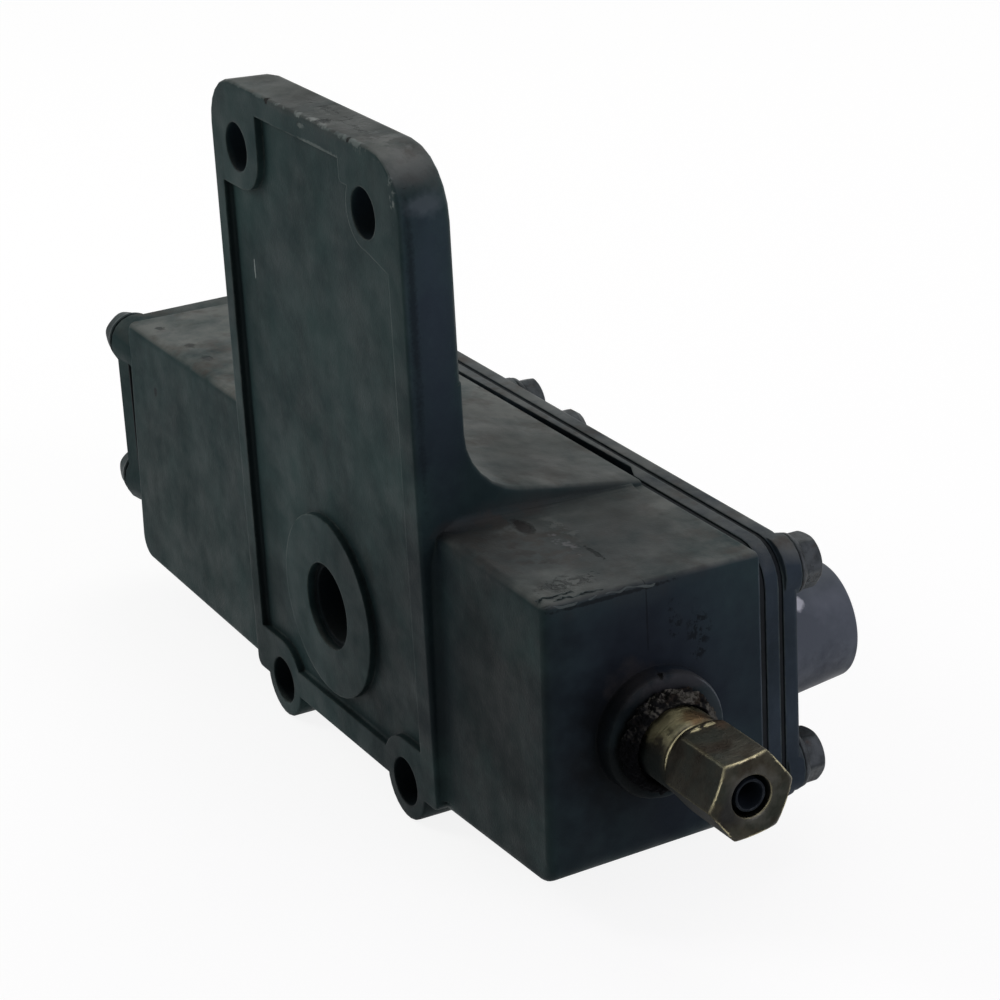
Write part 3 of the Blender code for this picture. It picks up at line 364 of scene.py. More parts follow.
    def press(self, height: Link, depth_mm: float, strength: float = 1.0) -> None:
        """Adds a bump whose full height is a real depth in millimetres.

        Args:
            height: The relief, where one is the full height.
            depth_mm: The full height.
            strength: Share of the bump that is used.
        """
        links: dict[Any, Link] = {"Height": height, "Distance": depth_mm * MM, "Strength": strength}
        if self.normal is not None:
            links["Normal"] = self.normal
        self.normal = add(self.tree, "ShaderNodeBump", {}, links).outputs[0]

    def done(self, colour: Link, roughness: Link, metallic: Link = 0.0,
             specular: float = 0.5) -> bpy.types.Material:
        """Puts the finished colour, gloss and relief on the shader.

        Args:
            colour: The colour.
            roughness: The roughness.
            metallic: Share of metal.
            specular: Strength of the sheen, where one half is the usual one.

        Returns:
            The material.
        """
        for name, value in (("Base Color", colour), ("Roughness", roughness), ("Metallic", metallic)):
            if isinstance(value, bpy.types.NodeSocket):
                self.tree.links.new(value, self.shader.inputs[name])
            else:
                self.shader.inputs[name].default_value = value
        self.shader.inputs["Specular IOR Level"].default_value = specular
        if self.normal is not None:
            self.tree.links.new(self.normal, self.shader.inputs["Normal"])
        return self.material


@dataclass(frozen=True)
class CastPaint:
    """Dark grey paint on a die casting, worn, dusty and oily."""

    name: str = "painted_die_casting"
    base: str = "#263637"
    light: str = "#334746"
    deep: str = "#141d1f"
    dust: str = "#757975"
    earth: str = "#4a4540"
    pale_edge: str = "#55625f"
    # Oily dirt and painted shade for the inner corners
    dirt_and_shade: str = "#0c0d0d"
    grain_mm: float = 0.5
    dust_share: float = 0.9
    marks: tuple[Mark, ...] = ()
    rubbed_places: tuple[Mark, ...] = ()

    def material(self) -> bpy.types.Material:
        """Builds the paint: mottled colour, dust on top, pale edges, dirt and painted shade in corners,
        cast grain.

        Returns:
            The material.
        """
        pattern = Pattern(self.name)
        # Cloudy light and dark areas, some drawn out downwards as old wipe marks
        cloudy = pattern.patchy(0.75, 22.0, 0.40, 0.66)
        colour = pattern.coat(linear(self.base), linear(self.light), cloudy)
        wiped = pattern.times(pattern.patches(13.0, 0.48, 0.72, seed=3.0, stretch=(1.0, 1.0, 0.5)), 0.45)
        colour = pattern.coat(colour, linear(self.deep), wiped)
        colour = pattern.coat(colour, linear(self.light), pattern.patchy(0.2, 1.4, 0.50, 0.70, seed=5.0))
        # Grey and brownish dust on the open faces that look up, thicker in patches
        space = pattern.openness(4.5)
        upward = pattern.times(pattern.facing_up(0.35, 0.85), pattern.between(space, 0.80, 0.96))
        dusty = pattern.patchy(upward, 12.0, 0.30, 0.60, seed=8.0, detail=5.0)
        colour = pattern.coat(colour, linear(self.dust), pattern.times(dusty, self.dust_share))
        earth = pattern.patchy(upward, 7.0, 0.50, 0.66, seed=14.0, detail=5.0)
        colour = pattern.coat(colour, linear(self.earth), pattern.times(earth, 0.7))
        worn = pattern.edges(0.55, 0.88)
        # Paint rubbed thin on the edges, in broken lengths
        rubbed = pattern.patchy(worn, 4.0, 0.36, 0.58, seed=11.0)
        colour = pattern.coat(colour, linear(self.pale_edge), pattern.times(rubbed, 0.75))
        colour = pattern.mark(colour, self.marks)
        for place in self.rubbed_places:
            colour = pattern.coat(colour, linear(place.colour), pattern.times(worn, pattern.spot(place)))
        # Oily dirt and painted shade in the inner corners, where little open space lies in front of the
        # surface
        corner = pattern.patchy(pattern.between(space, 0.75, 0.30), 5.0, 0.25, 0.55, seed=9.0)
        colour = pattern.coat(colour, linear(self.dirt_and_shade), pattern.times(corner, 0.8))
        # A gentle unevenness of the casting and its fine grain
        pattern.press(pattern.patches(12.0, 0.2, 0.8, seed=21.0, detail=2.0), 0.25, 0.7)
        pattern.press(pattern.patches(self.grain_mm, 0.2, 0.8, seed=23.0, detail=3.0), 0.04, 0.8)
        gloss = pattern.between(pattern.patches(8.0, 0.3, 0.7, seed=25.0, detail=3.0), 0.0, 1.0, 0.42, 0.66)
        return pattern.done(colour, gloss, 0.0, 0.05)


@dataclass(frozen=True)
class ZincSteel:
    """Zinc-plated steel gone dull and oily: grey, patchy, brighter where a socket rubbed it."""

    name: str = "dull_zinc_steel"
    base: str = "#454a4c"
    dark: str = "#1f2325"
    bright: str = "#8d9194"
    rust: str = "#3a2e25"
    marks: tuple[Mark, ...] = ()

    def material(self) -> bpy.types.Material:
        """Builds the plating: grey film, oily patches, a little rust, rubbed corners.

        Returns:
            The material.
        """
        pattern = Pattern(self.name)
        colour = pattern.coat(linear(self.base), linear(self.dark), pattern.patches(4.0, 0.42, 0.66))
        colour = pattern.coat(colour, linear(self.rust), pattern.patchy(0.5, 2.2, 0.58, 0.70, seed=4.0))
        rubbed = pattern.patchy(pattern.edges(0.3), 1.5, 0.40, 0.60, seed=6.0)
        colour = pattern.coat(colour, linear(self.bright), pattern.times(rubbed, 0.45))
        colour = pattern.mark(colour, self.marks)
        pattern.press(pattern.patches(0.6, 0.3, 0.7, seed=9.0), 0.04)
        gloss = pattern.between(pattern.patches(3.0, 0.3, 0.7, seed=7.0), 0.0, 1.0, 0.38, 0.6)
        return pattern.done(colour, gloss, 0.3, 0.12)


@dataclass(frozen=True)
class TarnishedBrass:
    """Machined brass with brown tarnish, oil and painted shade in its hollows, painted shade on its front
    and underside, and rubbed corners painted bright as highlights.
    """

    name: str = "tarnished_brass"
    base: str = "#35332c"
    brown: str = "#211b14"
    green: str = "#252b27"
    # Rubbed brass, also a painted highlight along the edges
    bright: str = "#e6dcb2"
    # Oil, and painted shade for the front, the underside and the hollows
    oil: str = "#101415"
    marks: tuple[Mark, ...] = ()

    def material(self) -> bpy.types.Material:
        """Builds the brass: mottled tarnish, painted shade on the front and underside and in the hollows,
        turned lines, rubbed edges painted bright as highlights.

        Returns:
            The material.
        """
        pattern = Pattern(self.name)
        brown = pattern.patches(4.0, 0.42, 0.66, detail=6.0)
        colour = pattern.coat(linear(self.base), linear(self.brown), brown)
        colour = pattern.coat(colour, linear(self.green), pattern.patchy(0.6, 7.0, 0.46, 0.62, seed=2.0))
        # Painted shade on the faces that look to the front and down
        under = pattern.facing((0.0, -0.75, -0.66), 0.25, 0.85)
        colour = pattern.coat(colour, linear(self.oil), pattern.times(under, 0.8))
        # Oil and painted shade where little open space lies in front
        colour = pattern.coat(colour, linear(self.oil), pattern.times(pattern.hollows(1.2), 0.85))
        # Rubbed edges, painted bright as highlights as well as wear
        rubbed = pattern.patchy(pattern.edges(0.45, 0.93), 1.8, 0.26, 0.44, seed=6.0)
        colour = pattern.coat(colour, linear(self.bright), pattern.times(rubbed, 0.95))
        colour = pattern.mark(colour, self.marks)
        pattern.press(pattern.patches(1.2, 0.3, 0.7, seed=9.0, detail=6.0), 0.05)
        # Turning marks about 0.25 mm apart run round the fitting's axis
        pattern.press(pattern.patches(0.9, 0.3, 0.7, seed=12.0, stretch=(3.5, 0.3, 0.3)), 0.03)
        polish = pattern.between(pattern.patches(2.5, 0.3, 0.7, seed=7.0), 0.0, 1.0, 0.24, 0.5)
        gloss = pattern.either(polish, pattern.times(under, 0.7))
        return pattern.done(colour, gloss, pattern.between(under, 0.0, 0.6, 0.9, 0.0), 0.05)


@dataclass(frozen=True)
class Moulded:
    """A moulded plastic or rubber surface: even colour, faint grain, smears and scuffed edges."""

    name: str
    base: str
    smear: str
    scuff: str
    roughness: float
    grain_mm: float = 0.4
    edge_mm: float = 0.3
    specular: float = 0.14
    marks: tuple[Mark, ...] = ()

    def material(self) -> bpy.types.Material:
        """Builds the moulding: smeared colour, scuffed edges, fine grain.

        Returns:
            The material.
        """
        pattern = Pattern(self.name)
        smeared = pattern.patches(9.0, 0.42, 0.70, detail=6.0)
        colour = pattern.coat(linear(self.base), linear(self.smear), smeared)
        colour = pattern.mark(colour, self.marks)
        scuffed = pattern.patchy(pattern.edges(self.edge_mm), 2.0, 0.42, 0.6, seed=4.0)
        colour = pattern.coat(colour, linear(self.scuff), pattern.times(scuffed, 0.6))
        pattern.press(pattern.patches(self.grain_mm, 0.3, 0.7, seed=8.0), 0.015)
        low, high = self.roughness - 0.08, self.roughness + 0.1
        gloss = pattern.between(pattern.patches(5.0, 0.3, 0.7, seed=6.0), 0.0, 1.0, low, high)
        return pattern.done(colour, gloss, 0.0, self.specular)


@dataclass(frozen=True)
class OldSealant:
    """Dried thread sealant: a crumbly, brownish black crust with paler flakes."""

    name: str = "dried_thread_sealant"
    base: str = "#1b1c1d"
    pale: str = "#66655d"
    brown: str = "#2f2a24"
    # Black for painted shade in the creases and at the foot
    black: str = "#060606"
    marks: tuple[Mark, ...] = (
        Mark((79.5, 14.0, 21.0), (7.0, 7.0, 11.0), "#0a0b0d", 0.95, 0.35),
        Mark((79.5, 23.0, 14.5), (7.0, 13.0, 6.5), "#0a0b0d", 0.95, 0.35),
        Mark((79.5, 31.0, 21.0), (7.0, 4.0, 8.0), "#101214", 0.85, 0.35),
    )

    def material(self) -> bpy.types.Material:
        """Builds the crust: dark ground, pale flakes on top, brown oil, black painted shade in its creases
        and at its foot, rough relief.

        Returns:
            The material.
        """
        pattern = Pattern(self.name)
        upper = pattern.facing((0.2, 0.55, 0.8), 0.0, 0.75)
        oily = pattern.patchy(upper, 2.6, 0.46, 0.6, seed=3.0)
        colour = pattern.coat(linear(self.base), linear(self.brown), oily)
        colour = pattern.coat(colour, linear(self.pale), pattern.patchy(upper, 2.4, 0.44, 0.56))
        colour = pattern.mark(colour, self.marks)
        # Black painted shade where little open space lies in front of the crust
        colour = pattern.coat(colour, linear(self.black), pattern.times(pattern.hollows(0.8), 0.9))
        pattern.press(pattern.patches(0.9, 0.3, 0.7, seed=5.0, detail=4.0), 0.25)
        return pattern.done(colour, 0.8, 0.0, 0.02)


@dataclass(frozen=True)
class GroundSteel:
    """Ground steel under a film of oil: bright, with fine grinding lines round its axis."""

    name: str = "ground_steel"
    base: str = "#8b8d8f"
    film: str = "#4a4336"

    def material(self) -> bpy.types.Material:
        """Builds the steel: bright ground, a brownish oil film, fine lines.

        Returns:
            The material.
        """
        pattern = Pattern(self.name)
        colour = pattern.coat(linear(self.base), linear(self.film), pattern.patches(6.0, 0.45, 0.65))
        # Grinding lines about 0.15 mm apart
        pattern.press(pattern.patches(0.6, 0.3, 0.7, seed=3.0, stretch=(4.0, 0.3, 0.3)), 0.01)
        return pattern.done(colour, 0.28, 1.0)


def surface(name: str, points: Row, close_rows: bool = True, close_columns: bool = False,
            poles: bool = False) -> bpy.types.Object:
    """Makes a mesh of a grid of points, with all its faces pointing outwards.

    Face (i, j) joins points (i, j), (i, j+1), (i+1, j+1) and (i+1, j), taken round the grid
    where it closes. A pole is a fan from the middle of the first or last row to that row.

    Args:
        name: The object's name.
        points: Array of rows, columns and three coordinates.
        close_rows: Whether each row is a ring.
        close_columns: Whether the last row joins the first.
        poles: Whether the first and last rows are filled in.

    Returns:
        The object, in the scene and at the origin.
    """
    rows, columns = points.shape[:2]
    i, j = np.meshgrid(np.arange(rows if close_columns else rows - 1),
                       np.arange(columns if close_rows else columns - 1), indexing="ij")
    down, right = (i + 1) % rows, (j + 1) % columns
    quads = np.stack([i * columns + j, i * columns + right, down * columns + right, down * columns + j], -1)
    faces = quads.reshape(-1, 4).tolist()
    vertices = points.reshape(-1, 3)
    if poles:
        ring = np.arange(columns)
        ahead = (ring + 1) % columns
        vertices = np.vstack([vertices, points[0].mean(0), points[-1].mean(0)])
        last = (rows - 1) * columns
        faces += np.stack([np.full(columns, rows * columns), ahead, ring], -1).tolist()
        faces += np.stack([np.full(columns, rows * columns + 1), last + ring, last + ahead], -1).tolist()
    if enclosed_volume(vertices, faces) < 0.0:
        faces = [face[::-1] for face in faces]
    mesh = bpy.data.meshes.new(name)
    mesh.from_pydata(vertices.tolist(), [], faces)
    mesh.update()
    mesh.shade_smooth()
    mesh.set_sharp_from_angle(angle=math.radians(40.0))
    return linked(name, mesh)


def enclosed_volume(vertices: Row, faces: Sequence[Sequence[int]]) -> float:
    """Works out the volume that faces enclose: a sixth of the sum of corner triple products.

    Args:
        vertices: The points.
        faces: The numbers of each face's points.

    Returns:
        The volume, below zero where the faces point inwards.
    """
    triangles = np.array([(f[0], f[k], f[k + 1]) for f in faces for k in range(1, len(f) - 1)])
    a, b, c = (vertices[triangles[:, k]] for k in range(3))
    return float(np.einsum("ij,ij->", a, np.cross(b, c)) / 6.0)


def hexagon_radius(angle: Row, across: float, turn: float = 0.0, crispness: float = 70.0) -> Row:
    """Works out a worn hexagon's radius at each angle.

    Half the width across flats is divided by the p-norm of the six flats' cosines, so the
    corners are rounded, and the more so the smaller the crispness p is.

    Args:
        angle: The angles.
        across: The width across flats.
        turn: How far the hexagon is turned.
        crispness: How sharp its corners are.

    Returns:
        One radius for each angle.
    """
    flats = turn + math.pi / 3 * np.arange(6)
    cosines = np.clip(np.cos(angle[..., None] - flats), 1e-6, None)
    return across / 2 / np.sum(cosines ** crispness, -1) ** (1 / crispness)


def soft_least(first: Row, second: Row, sharpness: float = 60.0) -> Row:
    """Returns the lesser of two radii, rounded where they meet: a negative power mean."""
    return (first ** -sharpness + second ** -sharpness) ** (-1 / sharpness)


def angles(count: int) -> Row:
    """Returns that many equal steps round a circle, from zero."""
    return np.linspace(0.0, math.tau, count, endpoint=False)


def corners(node: str) -> tuple[Row, Row]:
    """Returns the low and the high corner of a CAD node's box, in metres."""
    low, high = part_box(node)
    return np.array(low), np.array(high)


def turned(name: str, rows: Sequence[tuple[float, Row]], base: Row, facing: Facing,
           ring: bool = False) -> bpy.types.Object:
    """Makes a surface about an axis from a radius for each height and angle.

    Point (i, j) lies at row i's height along the axis and out from it by its radius at angle j.

    Args:
        name: The object's name.
        rows: The height and the radii of each row, in metres.
        base: The axis's starting point.
        facing: The way the axis points.
        ring: True for a hollow section that closes on itself, false for a solid one.

    Returns:
        The object.
    """
    along, side, up = facing.frame()
    heights = np.array([height for height, _ in rows])
    radii = np.array([radius for _, radius in rows])
    angle = angles(radii.shape[1])
    across = np.cos(angle)[:, None] * side + np.sin(angle)[:, None] * up
    points = base + heights[:, None, None] * along + radii[:, :, None] * across
    return surface(name, points, close_columns=ring, poles=not ring)


def lathe(name: str, profile: Sequence[tuple[float, float]], base: Row, facing: Facing,
          columns: int = 144, ring: bool = False) -> bpy.types.Object:
    """Turns a profile of heights and radii, in millimetres, about an axis.

    Args:
        name: The object's name.
        profile: Height and radius of each corner, in order.
        base: The axis's starting point.
        facing: The way the axis points.
        columns: How many faces go round.
        ring: True for a hollow section that closes on itself.

    Returns:
        The object.
    """
    rows = [(height * MM, np.full(columns, radius * MM)) for height, radius in profile]
    return turned(name, rows, base, facing, ring)


def smooth_twin(node: str, name: str) -> bpy.types.Object:
    """Makes a piece in a CAD node's own shape, with its rounded corners smoothly shaded.

    Args:
        node: The CAD node.
        name: The object's name.

    Returns:
        The object, with its own mesh.
    """
    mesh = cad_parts[node].data.copy()
    mesh.name = name
    mesh.materials.clear()
    if "custom_normal" in mesh.attributes:
        mesh.attributes.remove(mesh.attributes["custom_normal"])
    model = bmesh.new()
    model.from_mesh(mesh)
    bmesh.ops.remove_doubles(model, verts=model.verts, dist=0.002 * MM)
    model.to_mesh(mesh)
    model.free()
    mesh.shade_smooth()
    mesh.set_sharp_from_angle(angle=math.radians(32.0))
    return even_shading(linked(name, mesh))


def linked(name: str, mesh: bpy.types.Mesh) -> bpy.types.Object:
    """Puts a mesh in the scene as an object at the origin.

    Args:
        name: The object's name.
        mesh: Its mesh.

    Returns:
        The object.
    """
    piece = bpy.data.objects.new(name, mesh)
    bpy.context.scene.collection.objects.link(piece)
    return piece


def even_shading(piece: bpy.types.Object) -> bpy.types.Object:
    """Keeps broad faces flat in the shading, with the curve only on the narrow faces.

    Args:
        piece: The object.

    Returns:
        The same object.
    """
    weighted = piece.modifiers.new("weighted_normals", "WEIGHTED_NORMAL")
    weighted.keep_sharp = True
    weighted.weight = 80
    return piece


def dress(piece: bpy.types.Object, material: bpy.types.Material) -> bpy.types.Object:
    """Puts one material on a CAD node's slots, or on the whole of a new piece.

    Args:
        piece: The object.
        material: The material.

    Returns:
        The same object.
    """
    if not piece.material_slots:
        piece.data.materials.append(material)
    for place in piece.material_slots:
        place.material = material
    return piece


def stand_in(piece: bpy.types.Object, material: bpy.types.Material, slot: str,
             *nodes: str) -> bpy.types.Object:
    """Dresses a new piece, which rides on the valve and takes the place of CAD nodes.

    Args:
        piece: The new piece.
        material: Its material.
        slot: The material slot that it belongs to; not used.
        nodes: The CAD nodes that it stands for, or none.

    Returns:
        The same piece.
    """
    dress(piece, material)
    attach(piece, VALVE)
    if nodes:
        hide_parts(*nodes)
    log.info("made %s for %s", piece.name, ", ".join(nodes) or "the look alone")
    return piece


def node_axis(node: str, facing: Facing) -> Row:
    """Finds the foot of a CAD node's axis: its box's middle, taken back to height zero.

    Args:
        node: The CAD node.
        facing: The way that its axis points.

    Returns:
        The foot's three coordinates.
    """
    low, high = corners(node)
    along = facing.frame()[0]
    centre = (low + high) / 2
    return centre - along * float(along @ centre)


@dataclass
class Studio:
    """The pale floor, the soft lamps and the camera at the photograph's angle."""

    yaw: float = -1.09043
    pitch: float = 0.38577
    roll: float = 0.05537
    lens_mm: float = 113.82
    camera_place: tuple[float, float, float] = (0.4783, -0.2141, 0.2560)
    floor_half: float = 4.0
    floor_gap: float = 0.0004
    floor_glow: float = 1.15
    floor_glow_share: float = 0.76
    sky: float = 0.18

    def build(self) -> None:
        """Sets up the camera, the lamps, the world and the floor."""
        self.place_camera()
        self.hang_lamps()
        self.paint_world()
        self.lay_floor()
        bpy.context.scene.view_settings.view_transform = "Standard"

    def place_camera(self) -> None:
        """Turns the camera by yaw, pitch and roll and puts it in place."""
        level = math.cos(self.pitch)
        ahead = np.array([math.sin(self.yaw) * level, math.cos(self.yaw) * level, -math.sin(self.pitch)])
        right = np.array([math.cos(self.yaw), -math.sin(self.yaw), 0.0])
        down = np.cross(ahead, right)
        across = right * math.cos(self.roll) + down * math.sin(self.roll)
        below = down * math.cos(self.roll) - right * math.sin(self.roll)
        turn = Matrix(np.column_stack([across, -below, -ahead]).tolist()).to_4x4()
        data = bpy.data.cameras.new("photo_camera")
        data.sensor_width = 36.0
        data.lens = self.lens_mm
        data.clip_start = 0.01
        camera = bpy.data.objects.new("photo_camera", data)
        camera.matrix_world = Matrix.Translation(self.camera_place) @ turn
        bpy.context.scene.collection.objects.link(camera)
        bpy.context.scene.camera = camera

    def hang_lamps(self) -> None:
        """Hangs a large key lamp to the front left, a top lamp and a weak lamp on the right."""
        for name, place, aim, size, watts, colour in (
            ("key", (-0.60, -0.62, 0.62), (-0.02, 0.0, 0.05), 0.4, 2.35, (1.0, 1.0, 1.0)),
            ("top", (-0.35, 0.45, 0.90), (-0.02, 0.0, 0.03), 0.8, 2.5, (1.0, 0.98, 0.95)),
            ("side", (0.95, 0.25, 0.45), (0.05, 0.02, 0.03), 0.5, 2.75, (0.90, 0.82, 1.0)),
        ):
            data = bpy.data.lights.new(name, "AREA")
            data.size = size
            data.energy = watts
            data.color = colour
            lamp = bpy.data.objects.new(name, data)
            back = np.array(place) - np.array(aim)
            lamp.location = place
            lamp.rotation_mode = "QUATERNION"
            lamp.rotation_quaternion = Vector(back.tolist()).to_track_quat("Z", "Y")
            bpy.context.scene.collection.objects.link(lamp)

    def paint_world(self) -> None:
        """Gives weak even light, and white where the camera or a reflection sees the world."""
        world = bpy.data.worlds.new("studio")
        world.use_nodes = True
        tree = world.node_tree
        seen = self.seen_directly(tree)
        strength = add(tree, "ShaderNodeMapRange", {}, {0: seen, 1: 0.0, 2: 1.0, 3: self.sky, 4: 1.0})
        background = tree.nodes["Background"]
        background.inputs[0].default_value = WHITE
        tree.links.new(strength.outputs[0], background.inputs[1])
        bpy.context.scene.world = world

    @staticmethod
    def seen_directly(tree: bpy.types.NodeTree) -> Link:
        """Tells camera, glossy and transmission rays from the rest.

        Args:
            tree: The node tree to add to.

        Returns:
            A socket that is one for those rays and zero for the others.
        """
        path = add(tree, "ShaderNodeLightPath", {}, {})
        gloss = add(tree, "ShaderNodeMath", {"operation": "MAXIMUM"}, {
            0: path.outputs["Is Camera Ray"], 1: path.outputs["Is Glossy Ray"],
        })
        return add(tree, "ShaderNodeMath", {"operation": "MAXIMUM"}, {
            0: gloss.outputs[0], 1: path.outputs["Is Transmission Ray"],
        }).outputs[0]

    def lay_floor(self) -> None:
        """Lays a pale floor that keeps a soft shadow under the valve."""
        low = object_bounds()[0][2] - self.floor_gap
        half = self.floor_half
        mesh = bpy.data.meshes.new("floor")
        square = [(-half, -half, low), (half, -half, low), (half, half, low), (-half, half, low)]
        mesh.from_pydata(square, [], [(0, 1, 2, 3)])
        floor = bpy.data.objects.new("floor", mesh)
        bpy.context.scene.collection.objects.link(floor)
        material = bpy.data.materials.new("pale_floor")
        material.use_nodes = True
        tree = material.node_tree
        shader = tree.nodes["Principled BSDF"]
        shader.inputs["Base Color"].default_value = linear("#f2f2f2")
        shader.inputs["Roughness"].default_value = 0.9
        glow = add(tree, "ShaderNodeEmission", {}, {"Color": WHITE, "Strength": self.floor_glow})
        share = add(tree, "ShaderNodeMath", {"operation": "MULTIPLY"}, {
            0: self.seen_directly(tree), 1: self.floor_glow_share,
        })
        mixed = add(tree, "ShaderNodeMixShader", {}, {
            0: share.outputs[0], 1: shader.outputs[0], 2: glow.outputs[0],
        })
        tree.links.new(mixed.outputs[0], tree.nodes["Material Output"].inputs[0])
        mesh.materials.append(material)
        floor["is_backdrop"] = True


# Broad changes of tone: a bluish painted light tint, painted shade on the lower fronts, painted shadows by
# the flange, on the pocket wall and at the port boss, a darker lower end face, tones, dents and flecks on
# the top, and a dark stripe on the flange's side
SHADE_AND_TONE_MARKS = (
    # A bluish painted light tint on the end face and on the flange's right side
    Mark((76.0, 24.0, 28.0), (2.6, 34.0, 44.0), "#2c323f", 0.70, 0.30, raggedness=0.2),
    Mark((38.6, 5.4, 84.0), (1.5, 6.6, 40.0), "#3e4656", 0.62, 0.40, raggedness=0.3),
    # Painted shade: the fronts of the body and the flange darker towards the bottom, and the body's front
    # towards the right too
    Mark((58.0, 1.0, 24.0), (26.0, 8.0, 36.0), "#0d1416", 0.90, 0.55),
    Mark((22.0, -2.0, 14.0), (22.0, 12.0, 34.0), "#151e20", 0.86, 0.55),
    Mark((-34.0, -1.0, 12.0), (9.0, 9.0, 30.0), "#182122", 0.60, 0.50),
    Mark((-72.0, 2.0, 14.0), (34.0, 8.0, 22.0), "#1b2526", 0.45, 0.55),
    # A painted shadow of the flange's edge on the body's front beside it
    Mark((37.5, 6.0, 44.0), (8.0, 10.0, 42.0), "#141c21", 0.55, 0.50),
    # Darker on the end face's lower part
    Mark((76.0, 18.0, 20.0), (8.0, 26.0, 42.0), "#0c1017", 0.70, 0.60),
    # Lighter and darker grey tones on the top, with a dent, a raised spot and flecks, and a lighter tone on
    # the flange's top
    Mark((56.0, 20.0, 50.8), (30.0, 20.0, 3.5), "#34393a", 0.72, 0.45),
    Mark((20.0, 30.0, 51.0), (30.0, 16.0, 5.0), "#3c403e", 0.80, 0.50),
    Mark((47.0, 14.0, 50.8), (18.0, 11.0, 2.3), "#3e3c39", 0.70, 0.35, 6.0),
    Mark((44.0, 8.0, 51.0), (12.0, 5.0, 2.0), "#303130", 0.65, 0.40),
    Mark((42.9, 16.7, 51.0), (3.4, 1.7, 2.0), "#1d1b1b", 0.85, 0.25, 0.0, 0.3),
    Mark((47.5, 22.0, 51.0), (7.0, 1.6, 2.4), "#666b68", 0.50, 0.30, 3.0, -0.2),
    Mark((53.0, 19.0, 50.8), (6.0, 1.2, 1.4), "#77797a", 0.60, 0.30, 2.4),
    Mark((57.0, 12.0, 50.8), (8.0, 3.0, 1.4), "#2e302f", 0.60, 0.35, 4.0),
    Mark((0.0, 5.0, 116.9), (44.0, 7.0, 1.6), "#3c4140", 0.75, 0.40),
    # A painted shadow on the pocket's left wall
    Mark((-33.4, 1.0, 55.0), (1.2, 1.4, 66.0), "#0e1417", 0.75, 0.20, raggedness=0.15),
    # A painted shadow on the pocket's floor along the port boss's right side
    Mark((15.4, 1.4, 23.0), (2.4, 0.9, 10.0), "#0d1315", 0.65, 0.50),
    Mark((12.4, 1.4, 10.0), (3.2, 0.9, 4.5), "#0d1315", 0.55, 0.50),
    Mark((13.0, 1.4, 35.5), (3.2, 0.9, 4.5), "#0d1315", 0.45, 0.50),
    # A dark stripe on the flange's right side near its front edge
    Mark((37.5, 1.6, 90.0), (1.0, 0.75, 26.0), "#0c1116", 0.55, 0.50),
)
# Painted shade inside the port and the four mounting holes, laid over the dust there
HOLE_SHADE_MARKS = (
    Mark((-2.8, 9.0, 23.6), (13.0, 14.0, 13.0), "#0a0f13", 0.92, 0.05, raggedness=0.1),
    Mark((-25.4, 5.0, 0.0), (6.8, 9.0, 6.8), "#0b1114", 0.92, 0.05, raggedness=0.1),
    Mark((25.4, 5.0, 0.0), (6.8, 9.0, 6.8), "#0b1114", 0.92, 0.05, raggedness=0.1),
    Mark((-26.6, 5.0, 104.6), (6.8, 9.0, 6.8), "#151e24", 0.92, 0.05, raggedness=0.1),
    Mark((24.2, 5.0, 104.6), (6.8, 9.0, 6.8), "#151e24", 0.92, 0.05, raggedness=0.1),
)
# The end face: smudges, dark flecks, dark patches by the fitting, and the band on the boss
END_MARKS = (
    Mark((74.6, 13.0, 23.0), (3.0, 6.5, 14.0), "#07090b", 0.75, 0.45),
    Mark((76.0, 18.6, 33.6), (5.0, 4.4, 4.0), "#2e2d2d", 0.70, 0.40),
    Mark((74.6, 31.5, 39.5), (3.0, 2.2, 5.6), "#05070a", 0.70, 0.20, 1.3),
    Mark((74.6, 27.0, 43.0), (3.0, 1.5, 3.4), "#05070a", 0.70, 0.20, 1.1),
    Mark((74.6, 21.9, 45.0), (3.0, 0.18, 7.5), "#090c10", 0.60, 0.15),
    Mark((74.6, 34.0, 10.0), (3.0, 5.0, 8.0), "#0a0f14", 0.50, 0.40, 2.2),
    Mark((78.2, 26.0, 33.4), (1.8, 8.6, 2.6), "#3b3c3e", 0.75, 0.25),
    Mark((78.2, 31.8, 28.5), (1.8, 2.6, 5.0), "#3c4245", 0.50, 0.30),
    Mark((78.4, 22.0, 37.0), (2.4, 0.8, 2.4), "#030303", 0.95, 0.12, 0.0, 0.4),
    Mark((78.0, 14.0, 21.0), (4.0, 7.0, 11.0), "#060809", 0.85, 0.45),
)
